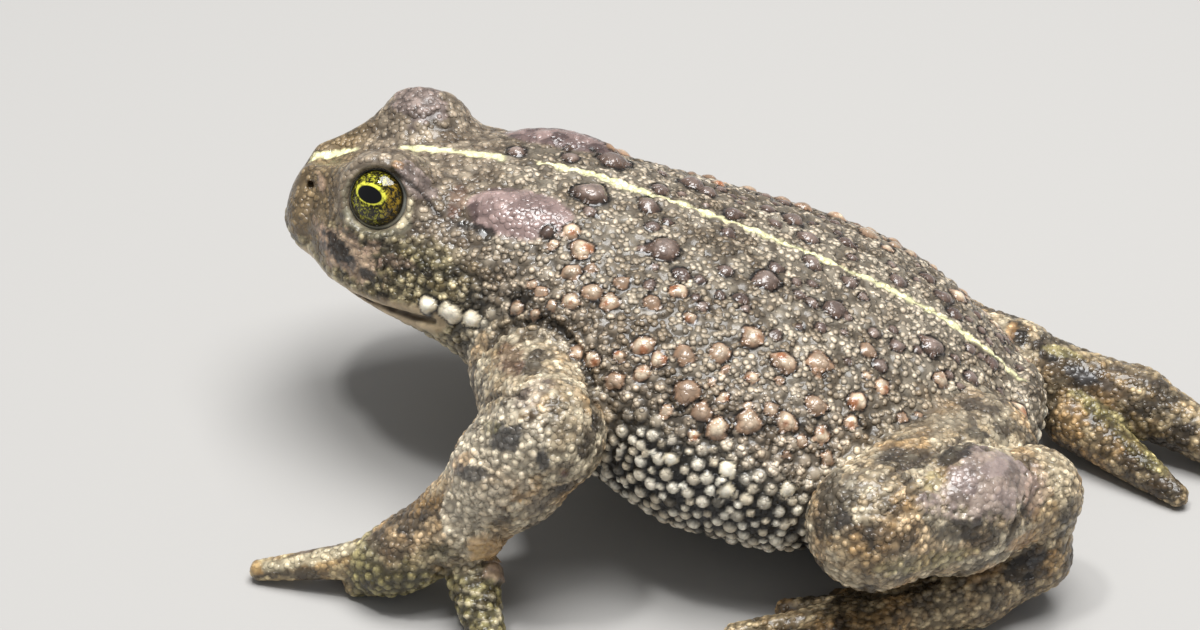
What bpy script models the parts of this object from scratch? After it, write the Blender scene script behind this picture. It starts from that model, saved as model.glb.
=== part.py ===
"""Natterjack toad, life size, as a still museum model.

Metres at the end, millimetres while the shape is worked out.
+Z is up, the floor is z = 0, the toad faces -X and its left side is -Y.
The flesh is one smooth body, written as fields: a field gives each point its rough
distance from a surface, negative inside. Forms are joined by blending their fields,
the zero surface is meshed on a grid, and thin cuts part it into the named nodes.
"""

import itertools

import bmesh
import bpy
import numpy as np

MM = 0.001

# Driving dimensions, in millimetres
SNOUT_VENT = 65.0
BODY_WIDTH = 39.6
EYE_RADIUS = 2.9
NODE_GAP = 0.3
SEED = 7

# Middle of the stance, in the toad's own x and y, which becomes the origin on the floor
STANCE_MIDDLE = (11.6, -3.5)
SOLE_LEVEL = 0.12

# Stations along the trunk, in parts of SNOUT_VENT behind the snout, then the half width
# in parts of half the BODY_WIDTH, how far the soft belly sags to the left, the heights of
# the trunk's top, widest line and underside, and the share of the half width that the right
# side has, because the toad leans to the left
TRUNK_STATIONS = [
    (0.045, 0.30, 0.0, 22.9, 19.3, 16.2, 1.00),
    (0.090, 0.45, 0.0, 24.4, 19.0, 15.2, 1.00),
    (0.155, 0.545, 0.0, 25.3, 18.4, 13.7, 0.98),
    (0.235, 0.61, 0.0, 25.6, 17.4, 11.0, 0.93),
    (0.310, 0.66, -0.3, 25.6, 16.0, 7.8, 0.85),
    (0.400, 0.79, -1.2, 25.1, 14.2, 5.2, 0.84),
    (0.495, 0.91, -2.2, 23.8, 12.4, 3.2, 0.87),
    (0.590, 0.985, -2.8, 22.2, 11.0, 1.8, 0.90),
    (0.685, 0.99, -2.8, 20.4, 10.0, 1.4, 0.92),
    (0.775, 0.90, -2.2, 18.2, 9.2, 1.8, 0.93),
    (0.850, 0.74, -1.4, 15.8, 8.6, 2.6, 0.89),
    (0.915, 0.54, -0.6, 13.0, 7.8, 3.4, 0.82),
    (0.955, 0.37, 0.0, 10.9, 7.4, 4.0, 0.74),
]
SNOUT_X = -SNOUT_VENT * 0.53
SNOUT_CAP = 3.2
VENT_CAP = 2.4
SECTION_POWER = 2.1


def smooth_profile(knots, values):
    """Curve through the values at the knots, with slopes that don't overshoot."""
    knots = np.asarray(knots, float)
    values = np.asarray(values, float)
    steps = np.diff(knots)
    secants = np.diff(values) / steps
    inner = np.where(
        secants[1:] * secants[:-1] > 0,
        2 * secants[1:] * secants[:-1] / (secants[1:] + secants[:-1] + 1e-12),
        0.0,
    )
    slopes = np.concatenate([secants[:1], inner, secants[-1:]])

    def profile(x):
        spot = np.clip(np.searchsorted(knots, x) - 1, 0, len(steps) - 1)
        step = steps[spot]
        t = np.clip((x - knots[spot]) / step, 0, 1)
        rise = values[spot + 1] - values[spot]
        start, end = slopes[spot] * step, slopes[spot + 1] * step
        return (
            values[spot]
            + start * t
            + (3 * rise - 2 * start - end) * t**2
            + (start + end - 2 * rise) * t**3
        )

    return profile


STATION_X = [SNOUT_X + station[0] * SNOUT_VENT for station in TRUNK_STATIONS]
HALF_WIDTH = smooth_profile(STATION_X, [s[1] * BODY_WIDTH / 2 for s in TRUNK_STATIONS])
SAG = smooth_profile(STATION_X, [s[2] for s in TRUNK_STATIONS])
TOP = smooth_profile(STATION_X, [s[3] for s in TRUNK_STATIONS])
WIDEST = smooth_profile(STATION_X, [s[4] for s in TRUNK_STATIONS])
UNDERSIDE = smooth_profile(STATION_X, [s[5] for s in TRUNK_STATIONS])
RIGHT_SHARE = smooth_profile(STATION_X, [s[6] for s in TRUNK_STATIONS])


# Fields of simple forms
def length(v):
    return np.sqrt((v * v).sum(-1))


def ball(p, centre, radius):
    return length(p - np.array(centre)) - radius


def bone(p, start, end, start_radius, end_radius):
    """Tapered round bar between two points."""
    start = np.array(start)
    along = np.array(end) - start
    t = np.clip(((p - start) @ along) / (along @ along), 0, 1)
    return length(p - start - t[..., None] * along) - (start_radius + t * (end_radius - start_radius))


def egg(p, centre, radii, forward=(1, 0, 0), up=(0, 0, 1)):
    """Ellipsoid whose three radii lie along forward, sideways and up."""
    forward = np.array(forward) / np.linalg.norm(forward)
    side = np.cross(up, forward)
    side /= np.linalg.norm(side)
    frame = np.stack([forward, side, np.cross(forward, side)], -1)
    q = ((p - np.array(centre)) @ frame) / np.array(radii)
    reach = length(q)
    return reach * (reach - 1) / np.maximum(length(q / np.array(radii)), 1e-9)


def join(a, b, fillet):
    """Union of two fields with a fillet where they meet."""
    h = np.clip(0.5 + 0.5 * (b - a) / fillet, 0, 1)
    return b * (1 - h) + a * h - fillet * h * (1 - h)


def join_all(fields, fillet):
    total = fields[0]
    for field in fields[1:]:
        total = join(total, field, fillet)
    return total


def carve(a, b, fillet):
    """Field a with b cut out of it, and the rim rounded."""
    return -join(-a, b, fillet)


def around(p, spots, room):
    """Which points lie in the box round some spots, with room on every side."""
    low, high = np.min(spots, axis=0) - room, np.max(spots, axis=0) + room
    return ((p > low) & (p < high)).all(-1)


def mirrored(p):
    """Points brought to the toad's left half, where the paired forms are written."""
    q = p.copy()
    q[..., 1] = -np.abs(q[..., 1])
    return q


# Trunk: head, neck and belly as one loft of rounded sections
def half_width(x, y):
    """Half width of the trunk on the side where y, counted from its middle, lies."""
    return HALF_WIDTH(x) * np.where(y > 0, RIGHT_SHARE(x), 1.0)


def trunk(p):
    x, z = p[..., 0], p[..., 2]
    near = np.clip(x, STATION_X[0], STATION_X[-1])
    y = p[..., 1] - SAG(near)
    past = np.where(x < near, (near - x) / SNOUT_CAP, (x - near) / VENT_CAP)
    widest = WIDEST(near)
    rise = z - widest
    height = np.where(rise > 0, TOP(near) - widest, widest - UNDERSIDE(near))
    power = SECTION_POWER
    q = (
        (np.abs(y) / half_width(near, y)) ** power
        + (np.abs(rise) / height) ** power
        + past**power
    ) ** (1 / power)
    arm = np.sqrt((x - near) ** 2 + y**2 + rise**2)
    return arm * (1 - 1 / np.maximum(q, 1e-6)) + np.where(q < 1e-6, -height, 0)


def trunk_point(x, angle):
    """Point of the trunk's surface at x, at an angle in degrees up from the widest line.

    Angles from 0 to 90 are on the left side, and from 90 to 180 on the right."""
    x = np.asarray(x, float)
    turn = np.radians(angle)
    bend = 2 / SECTION_POWER
    across, up = np.cos(turn), np.sin(turn)
    widest = WIDEST(x)
    height = np.where(up > 0, TOP(x) - widest, widest - UNDERSIDE(x))
    y = SAG(x) - half_width(x, -across) * np.sign(across) * np.abs(across) ** bend
    z = widest + height * np.sign(up) * np.abs(up) ** bend
    return np.stack([x, y, z], -1)


def slope(field, p, reach=0.05):
    """Unit direction in which a field grows."""
    steps = reach * np.eye(3)
    g = np.stack([field(p + step) - field(p - step) for step in steps], -1)
    return g / np.maximum(length(g), 1e-9)[..., None]


# Head
EYE = (-24.65, -5.7, 23.95)
GAZE = np.array((-0.05, -0.868, 0.49))
GAZE /= np.linalg.norm(GAZE)
BROW = (-24.5, -5.3, 23.8)
BROW_RADIUS = 3.95
NOSTRIL = (-31.9, -3.0, 22.6)
MOUTH_CORNER = (-18.6, -11.6, 17.2)
MOUTH_FRONT = (-35.0, 0.0, 18.0)
MOUTH_BEND = (-29.5, -9.2, 16.9)
LIP_RADIUS = 0.55
LIP_SPREAD = 0.78
LIP_SUNK = 0.22
GROOVE_RADIUS = 0.28
GROOVE_LIFT = 0.1
SNOUT_RIDGE = ((-32.2, -1.9, 22.5), (-27.0, -4.6, 24.4), 0.9, 1.3)
NOSTRIL_RADIUS = 0.42

# Opening between the lids, a cone along the gaze, and the rim round it: both in millimetres
# from the eye's middle
OPENING_START, OPENING_END = 1.0, 6.0
OPENING_RADII = (2.45, 3.5)
LID_OUT, LID_RING = 1.4, 2.98
LID_THICK, LID_THICKER_ABOVE = 0.42, 0.16

# Fillets of the head's forms
BROW_FILLET, RIDGE_FILLET, LIP_FILLET, MOUTH_FILLET = 1.8, 1.6, 0.9, 0.25
OPENING_FILLET, LID_FILLET, NOSTRIL_FILLET = 0.5, 0.45, 0.35


def mouth_line(count=9):
    """Points along the left half of the mouth, a bent curve from the snout to the corner."""
    t = np.linspace(0, 1, count)[:, None]
    front, bend, corner = np.array(MOUTH_FRONT), np.array(MOUTH_BEND), np.array(MOUTH_CORNER)
    return (1 - t) ** 2 * front + 2 * t * (1 - t) * bend + t**2 * corner


def onto_trunk(points, lift=0.0):
    """Points moved square to the trunk until they lie at a height over its surface."""
    for _ in range(6):
        points = points - (trunk(points) - lift)[..., None] * slope(trunk, points)
    return points


def bar_chain(p, points, radius):
    total = bone(p, points[0], points[1], radius, radius)
    for start, end in zip(points[1:-1], points[2:]):
        total = np.minimum(total, bone(p, start, end, radius, radius))
    return total


def head_forms(p, field):
    """Brows, lids, sockets, nostrils, lips and the line of the mouth."""
    q = mirrored(p)
    eye = np.array(EYE)
    field = join(field, ball(q, BROW, BROW_RADIUS), BROW_FILLET)
    field = join(field, bone(q, *SNOUT_RIDGE), RIDGE_FILLET)
    for spread in (LIP_SPREAD, -LIP_SPREAD):
        lip = onto_trunk(mouth_line() + (0, 0, spread), -LIP_SUNK)
        field = join(field, bar_chain(q, lip, LIP_RADIUS), LIP_FILLET)
    groove = bar_chain(q, onto_trunk(mouth_line(), GROOVE_LIFT), GROOVE_RADIUS)
    field = carve(field, groove, MOUTH_FILLET)
    opening = bone(q, eye + OPENING_START * GAZE, eye + OPENING_END * GAZE, *OPENING_RADII)
    field = carve(field, opening, OPENING_FILLET)
    field = join(field, lid_ring(q), LID_FILLET)
    return carve(field, ball(q, NOSTRIL, NOSTRIL_RADIUS), NOSTRIL_FILLET)


def lid_ring(q):
    """Rim of the lids, a ring round the gaze, thicker above than below."""
    eye = np.array(EYE)
    side = np.cross((0, 0, 1), GAZE)
    side /= np.linalg.norm(side)
    up = np.cross(GAZE, side)
    offset = q - (eye + LID_OUT * GAZE)
    along = offset @ GAZE
    across, rise = offset @ side, offset @ up
    out = np.sqrt(across**2 + rise**2)
    thick = LID_THICK + LID_THICKER_ABOVE * rise / np.maximum(out, 1e-6)
    return np.sqrt((out - LID_RING) ** 2 + along**2) - thick


# Glands and warts
LEFT_PAROTOID = (-12.6, -6.3, 23.9)
RIGHT_PAROTOID = (-12.6, 5.6, 23.7)
PAROTOID_RADII = (4.8, 2.4, 1.6)
PAROTOID_FILLET, WART_FILLET = 0.7, 0.3
WART_RISE = 0.5

# Main warts: x in millimetres, angle in degrees up from the widest line, and radius
BACK_WARTS = [
    (-15.4, 97, 0.83), (-10.9, 102, 0.75), (-7.9, 85, 1.4), (-8.3, 68, 0.75),
    (-7.1, 63, 1.0), (-3.4, 91, 0.98), (-3.1, 101, 0.83), (-1.0, 77, 1.25),
    (1.1, 67, 0.75), (-0.7, 59, 0.8), (0.3, 112, 0.8), (3.0, 103, 0.9),
    (3.3, 93, 0.75), (7.3, 82, 1.1), (9.3, 105, 0.85), (10.2, 94, 0.85),
    (12.9, 81, 0.95), (13.5, 92, 0.75), (17.0, 103, 0.75), (16.2, 70, 0.7),
    (18.2, 75, 0.7), (20.7, 80, 1.05), (21.8, 104, 0.75), (24.1, 73, 0.75),
    (21.9, 66, 0.75), (17.8, 58, 0.7), (10.3, 58, 1.0), (12.9, 61, 0.95),
    (7.6, 62, 1.0), (5.5, 54, 0.8), (2.9, 49, 0.8),
]
FLANK_WARTS = [
    (-7.4, 54, 0.75), (-5.3, 52, 0.8), (-3.9, 52, 0.75), (-0.5, 45, 0.8),
    (1.0, 44, 0.7), (3.7, 39, 1.0), (5.0, 34, 0.75), (6.3, 31, 0.85),
    (8.7, 36, 0.95), (11.4, 40, 0.85), (13.3, 47, 0.85), (16.2, 51, 0.85),
    (7.6, 18, 0.65), (7.7, 10, 0.65), (12.3, 16, 0.6), (3.2, 15, 0.6),
]
CORNER_TUBERCLES = [(-19.0, 7, 0.8), (-17.2, 9, 0.9), (-15.2, 12, 0.8)]
STRIPE_ANGLE = 96


def parotoids(p):
    left = egg(p, LEFT_PAROTOID, PAROTOID_RADII, forward=(1, -0.1, -0.1), up=(0, -0.45, 0.9))
    right = egg(p, RIGHT_PAROTOID, PAROTOID_RADII, forward=(1, 0.1, -0.1), up=(0, 0.45, 0.9))
    return np.minimum(left, right)


def wart(p, place, out, radius, height):
    """Low dome with its root sunk in the skin."""
    dome = (radius**2 + height**2) / (2 * height)
    return ball(p, place - out * (dome - height), dome)


def wart_sites():
    """Places and radii of the main warts.

    The left side has the photo's, and the right side the same rows, shuffled a little."""
    rng = np.random.default_rng(SEED)
    sites = []
    for x, angle, radius in BACK_WARTS + FLANK_WARTS + CORNER_TUBERCLES:
        sites.append((trunk_point(x, angle), radius))
        if angle < STRIPE_ANGLE - 10:
            shifted = x + rng.uniform(-1.0, 1.0)
            opposite = 2 * STRIPE_ANGLE - angle + rng.uniform(-3, 3)
            sites.append((trunk_point(shifted, opposite), radius * rng.uniform(0.8, 1.1)))
    return sites


def glands(p, field):
    """Parotoid glands behind the eyes, then the warts."""
    field = join(field, parotoids(p), PAROTOID_FILLET)
    for place, radius in wart_sites():
        near = around(p, [place], 2.5 * radius)
        if near.any():
            dome = wart(p[near], place, slope(trunk, place), radius, WART_RISE * radius)
            field[near] = join(field[near], dome, WART_FILLET)
    return field


# Limbs: the left ones as the photo shows them, the right ones as they fit what it hides
LEFT_ARM = {
    "shoulder": (-10.4, -13.0, 14.4),
    "elbow": (-6.5, -23.0, 15.8),
    "wrist": (-13.0, -24.6, 7.2),
    "palm": (-19.4, -26.2, 3.3),
    "fingers": [
        ((-11.4, -27.2, 3.4), (-8.6, -32.1, 0.8), 2.0, 1.1),
        ((-19.0, -26.8, 2.4), (-21.3, -27.1, 0.8), 1.3, 0.9),
        ((-20.0, -26.2, 3.2), (-29.4, -27.2, 0.85), 1.6, 0.85),
        ((-18.6, -24.6, 2.8), (-24.2, -24.3, 0.8), 1.3, 0.85),
    ],
}
RIGHT_ARM = {
    "shoulder": (-10.0, 11.6, 13.6),
    "elbow": (-4.6, 18.6, 7.6),
    "wrist": (-13.2, 20.6, 4.0),
    "palm": (-17.2, 20.4, 2.4),
    "fingers": [
        ((-17.0, 19.0, 2.2), (-21.0, 15.6, 0.8), 1.4, 0.9),
        ((-18.6, 19.8, 2.2), (-24.6, 17.6, 0.8), 1.3, 0.85),
        ((-18.8, 21.0, 2.2), (-27.2, 21.6, 0.8), 1.4, 0.85),
        ((-17.4, 22.2, 2.2), (-22.8, 25.4, 0.8), 1.3, 0.85),
    ],
}
LEFT_LEG = {
    "hip": (25.0, -8.0, 8.2),
    "knee": (19.2, -22.8, 11.7),
    "heel": (30.6, -13.4, 9.6),
    "ankle": (31.2, -14.6, 4.6),
    "instep": (27.0, -18.0, 2.9),
    "ball": (21.6, -21.2, 1.9),
    "toes": [
        ((21.6, -20.0, 2.0), (16.6, -19.4, 0.8), 1.3, 0.85),
        ((20.6, -20.8, 2.0), (12.8, -21.6, 0.8), 1.3, 0.85),
        ((20.0, -21.6, 2.0), (9.4, -25.4, 0.8), 1.4, 0.85),
        ((20.0, -22.4, 2.0), (7.8, -31.0, 0.8), 1.5, 0.85),
        ((20.8, -23.0, 2.0), (13.4, -31.4, 0.8), 1.4, 0.85),
    ],
}
RIGHT_LEG = {
    "hip": (22.8, 4.6, 5.9),
    "knee": (10.0, 13.8, 4.9),
    "heel": (26.8, 8.9, 5.9),
    "ankle": (29.4, 8.8, 5.6),
    "instep": (37.4, 8.4, 4.2),
    "ball": (43.0, 6.8, 2.8),
    "toes": [
        ((32.4, 5.8, 3.2), (41.8, 0.4, 0.9), 2.5, 0.95),
        ((43.6, 6.0, 2.4), (50.2, 2.6, 0.8), 1.3, 0.85),
        ((44.2, 6.8, 2.4), (55.0, 5.6, 0.8), 1.4, 0.85),
        ((44.2, 7.8, 2.4), (57.4, 10.6, 0.8), 1.5, 0.85),
        ((43.2, 8.8, 2.4), (51.4, 14.0, 0.8), 1.4, 0.85),
    ],
}
SHOULDER_RADIUS, ELBOW_RADIUS, WRIST_RADIUS, PALM_RADIUS = 4.9, 4.3, 3.4, 3.0
HIP_RADIUS, KNEE_RADIUS, HEEL_RADIUS = 5.4, 4.8, 3.8
ANKLE_RADIUS, INSTEP_RADIUS, BALL_RADIUS = 2.8, 2.8, 2.1
MUSCLE_RADIUS, MUSCLE_PLACE = 4.5, 0.4
CALF_RADIUS, CALF_PLACE = 5.1, 0.52
PAD_RADII, PAD_PLACE, PAD_DROP = (5.2, 3.6, 2.7), 0.62, 0.6
PALM_FRONT_RADIUS = 1.8
HEEL_NARROWING = 0.4
LIMB_FILLET, DIGIT_FILLET, HAND_FILLET = 1.2, 0.9, 1.0
KNEE_FILLET, FOOT_FILLET = 0.7, 0.5
LEFT_ROOT_FILLET, RIGHT_ROOT_FILLET = 1.2, 1.4
HEAD_BACK = -10.0
FLESH_ROOM = 8.0


def middle(a, b, share=0.5):
    return (1 - share) * np.array(a) + share * np.array(b)


def upper_arm(p, arm):
    return bone(p, arm["shoulder"], arm["elbow"], SHOULDER_RADIUS, ELBOW_RADIUS)


def forearm(p, arm):
    core = bone(p, arm["elbow"], arm["wrist"], ELBOW_RADIUS, WRIST_RADIUS)
    muscle = ball(p, middle(arm["elbow"], arm["wrist"], MUSCLE_PLACE), MUSCLE_RADIUS)
    return join(core, muscle, LIMB_FILLET)


def hand(p, arm):
    """Palm as a thick pad, with four tapered fingers."""
    palm_axis = np.array(arm["wrist"]) - np.array(arm["palm"])
    pad = middle(arm["wrist"], arm["palm"], PAD_PLACE) - (0, 0, PAD_DROP)
    palm = egg(p, pad, PAD_RADII, forward=palm_axis)
    parts = [palm, bone(p, arm["wrist"], arm["palm"], WRIST_RADIUS, PALM_FRONT_RADIUS)]
    parts += [bone(p, *finger) for finger in arm["fingers"]]
    return join_all(parts, DIGIT_FILLET)


def thigh(p, leg):
    return bone(p, leg["hip"], leg["knee"], HIP_RADIUS, KNEE_RADIUS)


def shank(p, leg):
    core = bone(p, leg["knee"], leg["heel"], KNEE_RADIUS, HEEL_RADIUS)
    calf = ball(p, middle(leg["knee"], leg["heel"], CALF_PLACE), CALF_RADIUS)
    return join(core, calf, LIMB_FILLET)


def foot(p, leg):
    """Ankle bone, instep and five tapered toes."""
    parts = [
        bone(p, leg["heel"], leg["ankle"], HEEL_RADIUS - HEEL_NARROWING, ANKLE_RADIUS),
        bone(p, leg["ankle"], leg["instep"], ANKLE_RADIUS, INSTEP_RADIUS),
        bone(p, leg["instep"], leg["ball"], INSTEP_RADIUS, BALL_RADIUS),
    ]
    parts += [bone(p, *toe) for toe in leg["toes"]]
    return join_all(parts, DIGIT_FILLET)


def arm_field(p, arm):
    bent = join(upper_arm(p, arm), forearm(p, arm), LIMB_FILLET)
    return join(bent, hand(p, arm), HAND_FILLET)


def leg_field(p, leg):
    folded = join(thigh(p, leg), shank(p, leg), KNEE_FILLET)
    return join(folded, foot(p, leg), FOOT_FILLET)


def joints(limb):
    """The places of a limb's joints and tips."""
    tips = limb.get("fingers", limb.get("toes"))
    return [limb[key] for key in limb if key not in ("fingers", "toes")] + [t[1] for t in tips]


def flesh(p):
    """The whole toad's skin surface, for a list of points."""
    field = trunk(p)
    front = p[:, 0] < HEAD_BACK
    field[front] = head_forms(p[front], field[front])
    for limb, form, fillet in (
        (LEFT_ARM, arm_field, LEFT_ROOT_FILLET),
        (RIGHT_ARM, arm_field, RIGHT_ROOT_FILLET),
        (LEFT_LEG, leg_field, LEFT_ROOT_FILLET),
        (RIGHT_LEG, leg_field, RIGHT_ROOT_FILLET),
    ):
        near = around(p, joints(limb), FLESH_ROOM)
        field[near] = join(field[near], form(p[near], limb), fillet)
    return glands(p, field)


# Parting: each node claims the flesh nearest to its own bone
def shortened(start, end, start_radius, end_radius, cut=0.45):
    """A bone drawn in at both ends, so that neighbours along a limb don't share a joint."""
    start, end = np.array(start), np.array(end)
    span = np.linalg.norm(end - start)
    along = (end - start) / span
    inset = min(cut * min(start_radius, end_radius), 0.3 * span)
    return start + inset * along, end - inset * along, start_radius, end_radius


def claim(p, bones):
    """Distance from the nearest of some bones, counted no further than the room's width."""
    spots = np.array([spot for one in bones for spot in one[:2]])
    near = around(p, spots, FLESH_ROOM + max(one[2] for one in bones))
    distance = np.full(len(p), FLESH_ROOM)
    close = np.minimum.reduce([bone(p[near], *one) for one in bones])
    distance[near] = np.minimum(close, FLESH_ROOM)
    return distance


def claims(p):
    """How near each node's own form is to each point."""
    near = {"trunk": np.minimum(trunk(p), FLESH_ROOM)}
    for side, arm in (("left", LEFT_ARM), ("right", RIGHT_ARM)):
        humerus = shortened(arm["shoulder"], arm["elbow"], SHOULDER_RADIUS, ELBOW_RADIUS)
        ulna = shortened(arm["elbow"], arm["wrist"], ELBOW_RADIUS, WRIST_RADIUS)
        palm = shortened(arm["wrist"], arm["palm"], WRIST_RADIUS, PALM_RADIUS)
        near["upper_arm_" + side] = claim(p, [humerus])
        near["forearm_" + side] = claim(p, [ulna])
        near["hand_" + side] = claim(p, [palm] + arm["fingers"])
    for side, leg in (("left", LEFT_LEG), ("right", RIGHT_LEG)):
        femur = shortened(leg["hip"], leg["knee"], HIP_RADIUS, KNEE_RADIUS)
        shin = shortened(leg["knee"], leg["heel"], KNEE_RADIUS, HEEL_RADIUS)
        tarsus = shortened(leg["heel"], leg["ankle"], HEEL_RADIUS, ANKLE_RADIUS)
        sole = (leg["ankle"], leg["instep"], ANKLE_RADIUS, INSTEP_RADIUS)
        front = (leg["instep"], leg["ball"], INSTEP_RADIUS, BALL_RADIUS)
        near["thigh_" + side] = claim(p, [femur])
        near["shank_" + side] = claim(p, [shin])
        near["foot_" + side] = claim(p, [tarsus, sole, front] + leg["toes"])
    return near


NECK_POINT = np.array((-13.8, 0.0, 18.2))
NECK_NORMAL = np.array((0.92, 0.0, 0.39))

# Meshing: grid step and triangle budget of each node
NODE_PLAN = {
    "head": (0.36, 3300),
    "torso": (0.42, 5400),
    "upper_arm": (0.6, 420),
    "forearm": (0.6, 420),
    "hand": (0.42, 800),
    "thigh": (0.6, 420),
    "shank": (0.6, 420),
    "foot": (0.45, 950),
}

# Tetrahedra of a grid cube that share its long diagonal, each wound the same way
CUBE_PATHS = list(itertools.permutations(range(3)))
LONE_CORNER = [(0, 1, 2, 3), (1, 0, 3, 2), (2, 0, 1, 3), (3, 0, 2, 1)]
CORNER_PAIRS = [
    (0, 1, 2, 3), (0, 2, 3, 1), (0, 3, 1, 2), (1, 2, 0, 3), (1, 3, 2, 0), (2, 3, 0, 1),
]


def cube_tetrahedra():
    """Corner offsets of the six tetrahedra in a unit cube."""
    result = []
    for path in CUBE_PATHS:
        corners = [np.zeros(3, int)]
        for axis in path:
            corners.append(corners[-1] + np.eye(3, dtype=int)[axis])
        if np.linalg.det(np.stack(corners[1:])) < 0:
            corners[1], corners[2] = corners[2], corners[1]
        result.append(corners)
    return result


def zero_surface(values, origin, step):
    """Closed triangle mesh of the zero surface of a field sampled on a grid."""
    shape = np.array(values.shape)
    strides = np.array([shape[1] * shape[2], shape[2], 1])
    flat = values.ravel()
    inside = values < 0
    corners = [inside[i:shape[0] - 1 + i, j:shape[1] - 1 + j, k:shape[2] - 1 + k]
               for i, j, k in itertools.product((0, 1), repeat=3)]
    count = np.sum(corners, axis=0)
    cubes = np.argwhere((count > 0) & (count < 8)) @ strides
    triangles = []
    for tetrahedron in cube_tetrahedra():
        ids = np.stack([cubes + corner @ strides for corner in tetrahedron], -1)
        deep = flat[ids] < 0
        depth = deep.sum(-1)
        for a, b, c, d in LONE_CORNER:
            edges = ((a, b), (a, c), (a, d))
            for lone, order in ((True, edges), (False, edges[::-1])):
                pick = (depth == (1 if lone else 3)) & (deep[:, a] == lone)
                triangles.append([ids[pick][:, edge] for edge in order])
        for a, b, c, d in CORNER_PAIRS:
            pick = (depth == 2) & deep[:, a] & deep[:, b]
            quad = [ids[pick][:, edge] for edge in ((a, c), (a, d), (b, d), (b, c))]
            triangles.append([quad[0], quad[1], quad[2]])
            triangles.append([quad[0], quad[2], quad[3]])
    edges = np.concatenate([np.stack(triangle, 1) for triangle in triangles]).reshape(-1, 2)
    edges.sort(axis=1)
    keys, corner_of = np.unique(edges[:, 0] * flat.size + edges[:, 1], return_inverse=True)
    low, high = keys // flat.size, keys % flat.size
    share = np.clip(flat[low] / (flat[low] - flat[high]), 0.02, 0.98)[:, None]
    start = np.stack(np.unravel_index(low, values.shape), -1)
    end = np.stack(np.unravel_index(high, values.shape), -1)
    points = np.array(origin) + step * (start + share * (end - start))
    return points, corner_of.reshape(-1, 3)


def largest_surface(points, triangles):
    """Only the biggest connected surface, so that no scrap or sealed hollow stays."""
    label = np.arange(len(points))
    while True:
        low = label[triangles].min(axis=1)
        new = label.copy()
        for corner in range(3):
            np.minimum.at(new, triangles[:, corner], low)
        new = new[new]
        if (new == label).all():
            break
        label = new
    names, sizes = np.unique(label[triangles[:, 0]], return_counts=True)
    triangles = triangles[label[triangles[:, 0]] == names[sizes.argmax()]]
    used, triangles = np.unique(triangles, return_inverse=True)
    return points[used], triangles.reshape(-1, 3)


def grid_points(low, high, step):
    low = np.floor(np.array(low) / step) * step - 0.5 * step
    axes = [np.arange(a, b + step, step) for a, b in zip(low, high)]
    return low, np.stack(np.meshgrid(*axes, indexing="ij"), -1)


def node_field(node, p, step):
    """Flesh that belongs to one node, drawn in by half the gap where it was cut."""
    shape, p = p.shape[:3], p.reshape(-1, 3)
    near = claims(p)
    owner = "trunk" if node in ("head", "torso") else node
    rival = np.minimum.reduce([near[name] for name in near if name != owner])
    cut = (near[owner] - rival).reshape(shape)
    steepness = np.sqrt(sum(g * g for g in np.gradient(cut, step)))
    cut = (cut / np.maximum(steepness, 0.4)).ravel() + NODE_GAP / 2
    if owner == "trunk":
        side = (p - NECK_POINT) @ NECK_NORMAL / np.linalg.norm(NECK_NORMAL)
        cut = np.maximum(cut, NODE_GAP / 2 + (side if node == "head" else -side))
    body = np.concatenate([flesh(part) for part in np.array_split(p, 8)])
    if node == "head":
        body = np.maximum(body, EYE_RADIUS + NODE_GAP - length(mirrored(p) - np.array(EYE)))
    return np.maximum(np.maximum(body, cut), -p[:, 2]).reshape(shape)


# Lowest and highest corners of the space for the head and the torso, the room round a limb's
# bones, and how far under the floor the grids start
TRUNK_BOXES = {
    "head": ((-37, -16, 4), (-4, 16, 30)),
    "torso": ((-20, -22.5, -0.6), (34.5, 22.5, 28)),
}
LONG_ROOM, TIP_ROOM = 7.5, 5.0
GRID_FLOOR = -0.6


def node_box(node):
    """Lowest and highest corners of the space that a node can fill."""
    if node in TRUNK_BOXES:
        return TRUNK_BOXES[node]
    kind, side = node.rsplit("_", 1)
    arm, leg = (LEFT_ARM, LEFT_LEG) if side == "left" else (RIGHT_ARM, RIGHT_LEG)
    spots = {
        "upper_arm": [arm["shoulder"], arm["elbow"]],
        "forearm": [arm["elbow"], arm["wrist"]],
        "hand": [arm["wrist"], arm["palm"]] + [f[1] for f in arm["fingers"]],
        "thigh": [leg["hip"], leg["knee"]],
        "shank": [leg["knee"], leg["heel"]],
        "foot": [leg["heel"], leg["ankle"]] + [t[1] for t in leg["toes"]],
    }[kind]
    room = TIP_ROOM if kind in ("hand", "foot") else LONG_ROOM
    low = np.min(spots, axis=0) - room
    low[2] = max(low[2], GRID_FLOOR)
    return low, np.max(spots, axis=0) + room


# Materials: base colour, roughness
MATERIALS = {
    "back_skin": ((0.13, 0.10, 0.07), 0.42),
    "palm_skin": ((0.30, 0.27, 0.19), 0.45),
    "limb_skin": ((0.22, 0.16, 0.10), 0.45),
    "eye": ((0.45, 0.42, 0.04), 0.08),
}
NODE_MATERIAL = {
    "head": "back_skin",
    "torso": "back_skin",
    "hand": "palm_skin",
    "foot": "palm_skin",
}


def material(name):
    found = bpy.data.materials.get(name)
    if found:
        return found
    made = bpy.data.materials.new(name)
    made.use_nodes = True
    shader = made.node_tree.nodes["Principled BSDF"]
    colour, roughness = MATERIALS[name]
    shader.inputs["Base Color"].default_value = (*colour, 1)
    shader.inputs["Roughness"].default_value = roughness
    shader.inputs["Metallic"].default_value = 0.0
    return made


def add_object(name, mesh, finish):
    mesh.materials.append(material(finish))
    mesh.shade_smooth()
    made = bpy.data.objects.new(name, mesh)
    bpy.context.scene.collection.objects.link(made)
    return made


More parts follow.
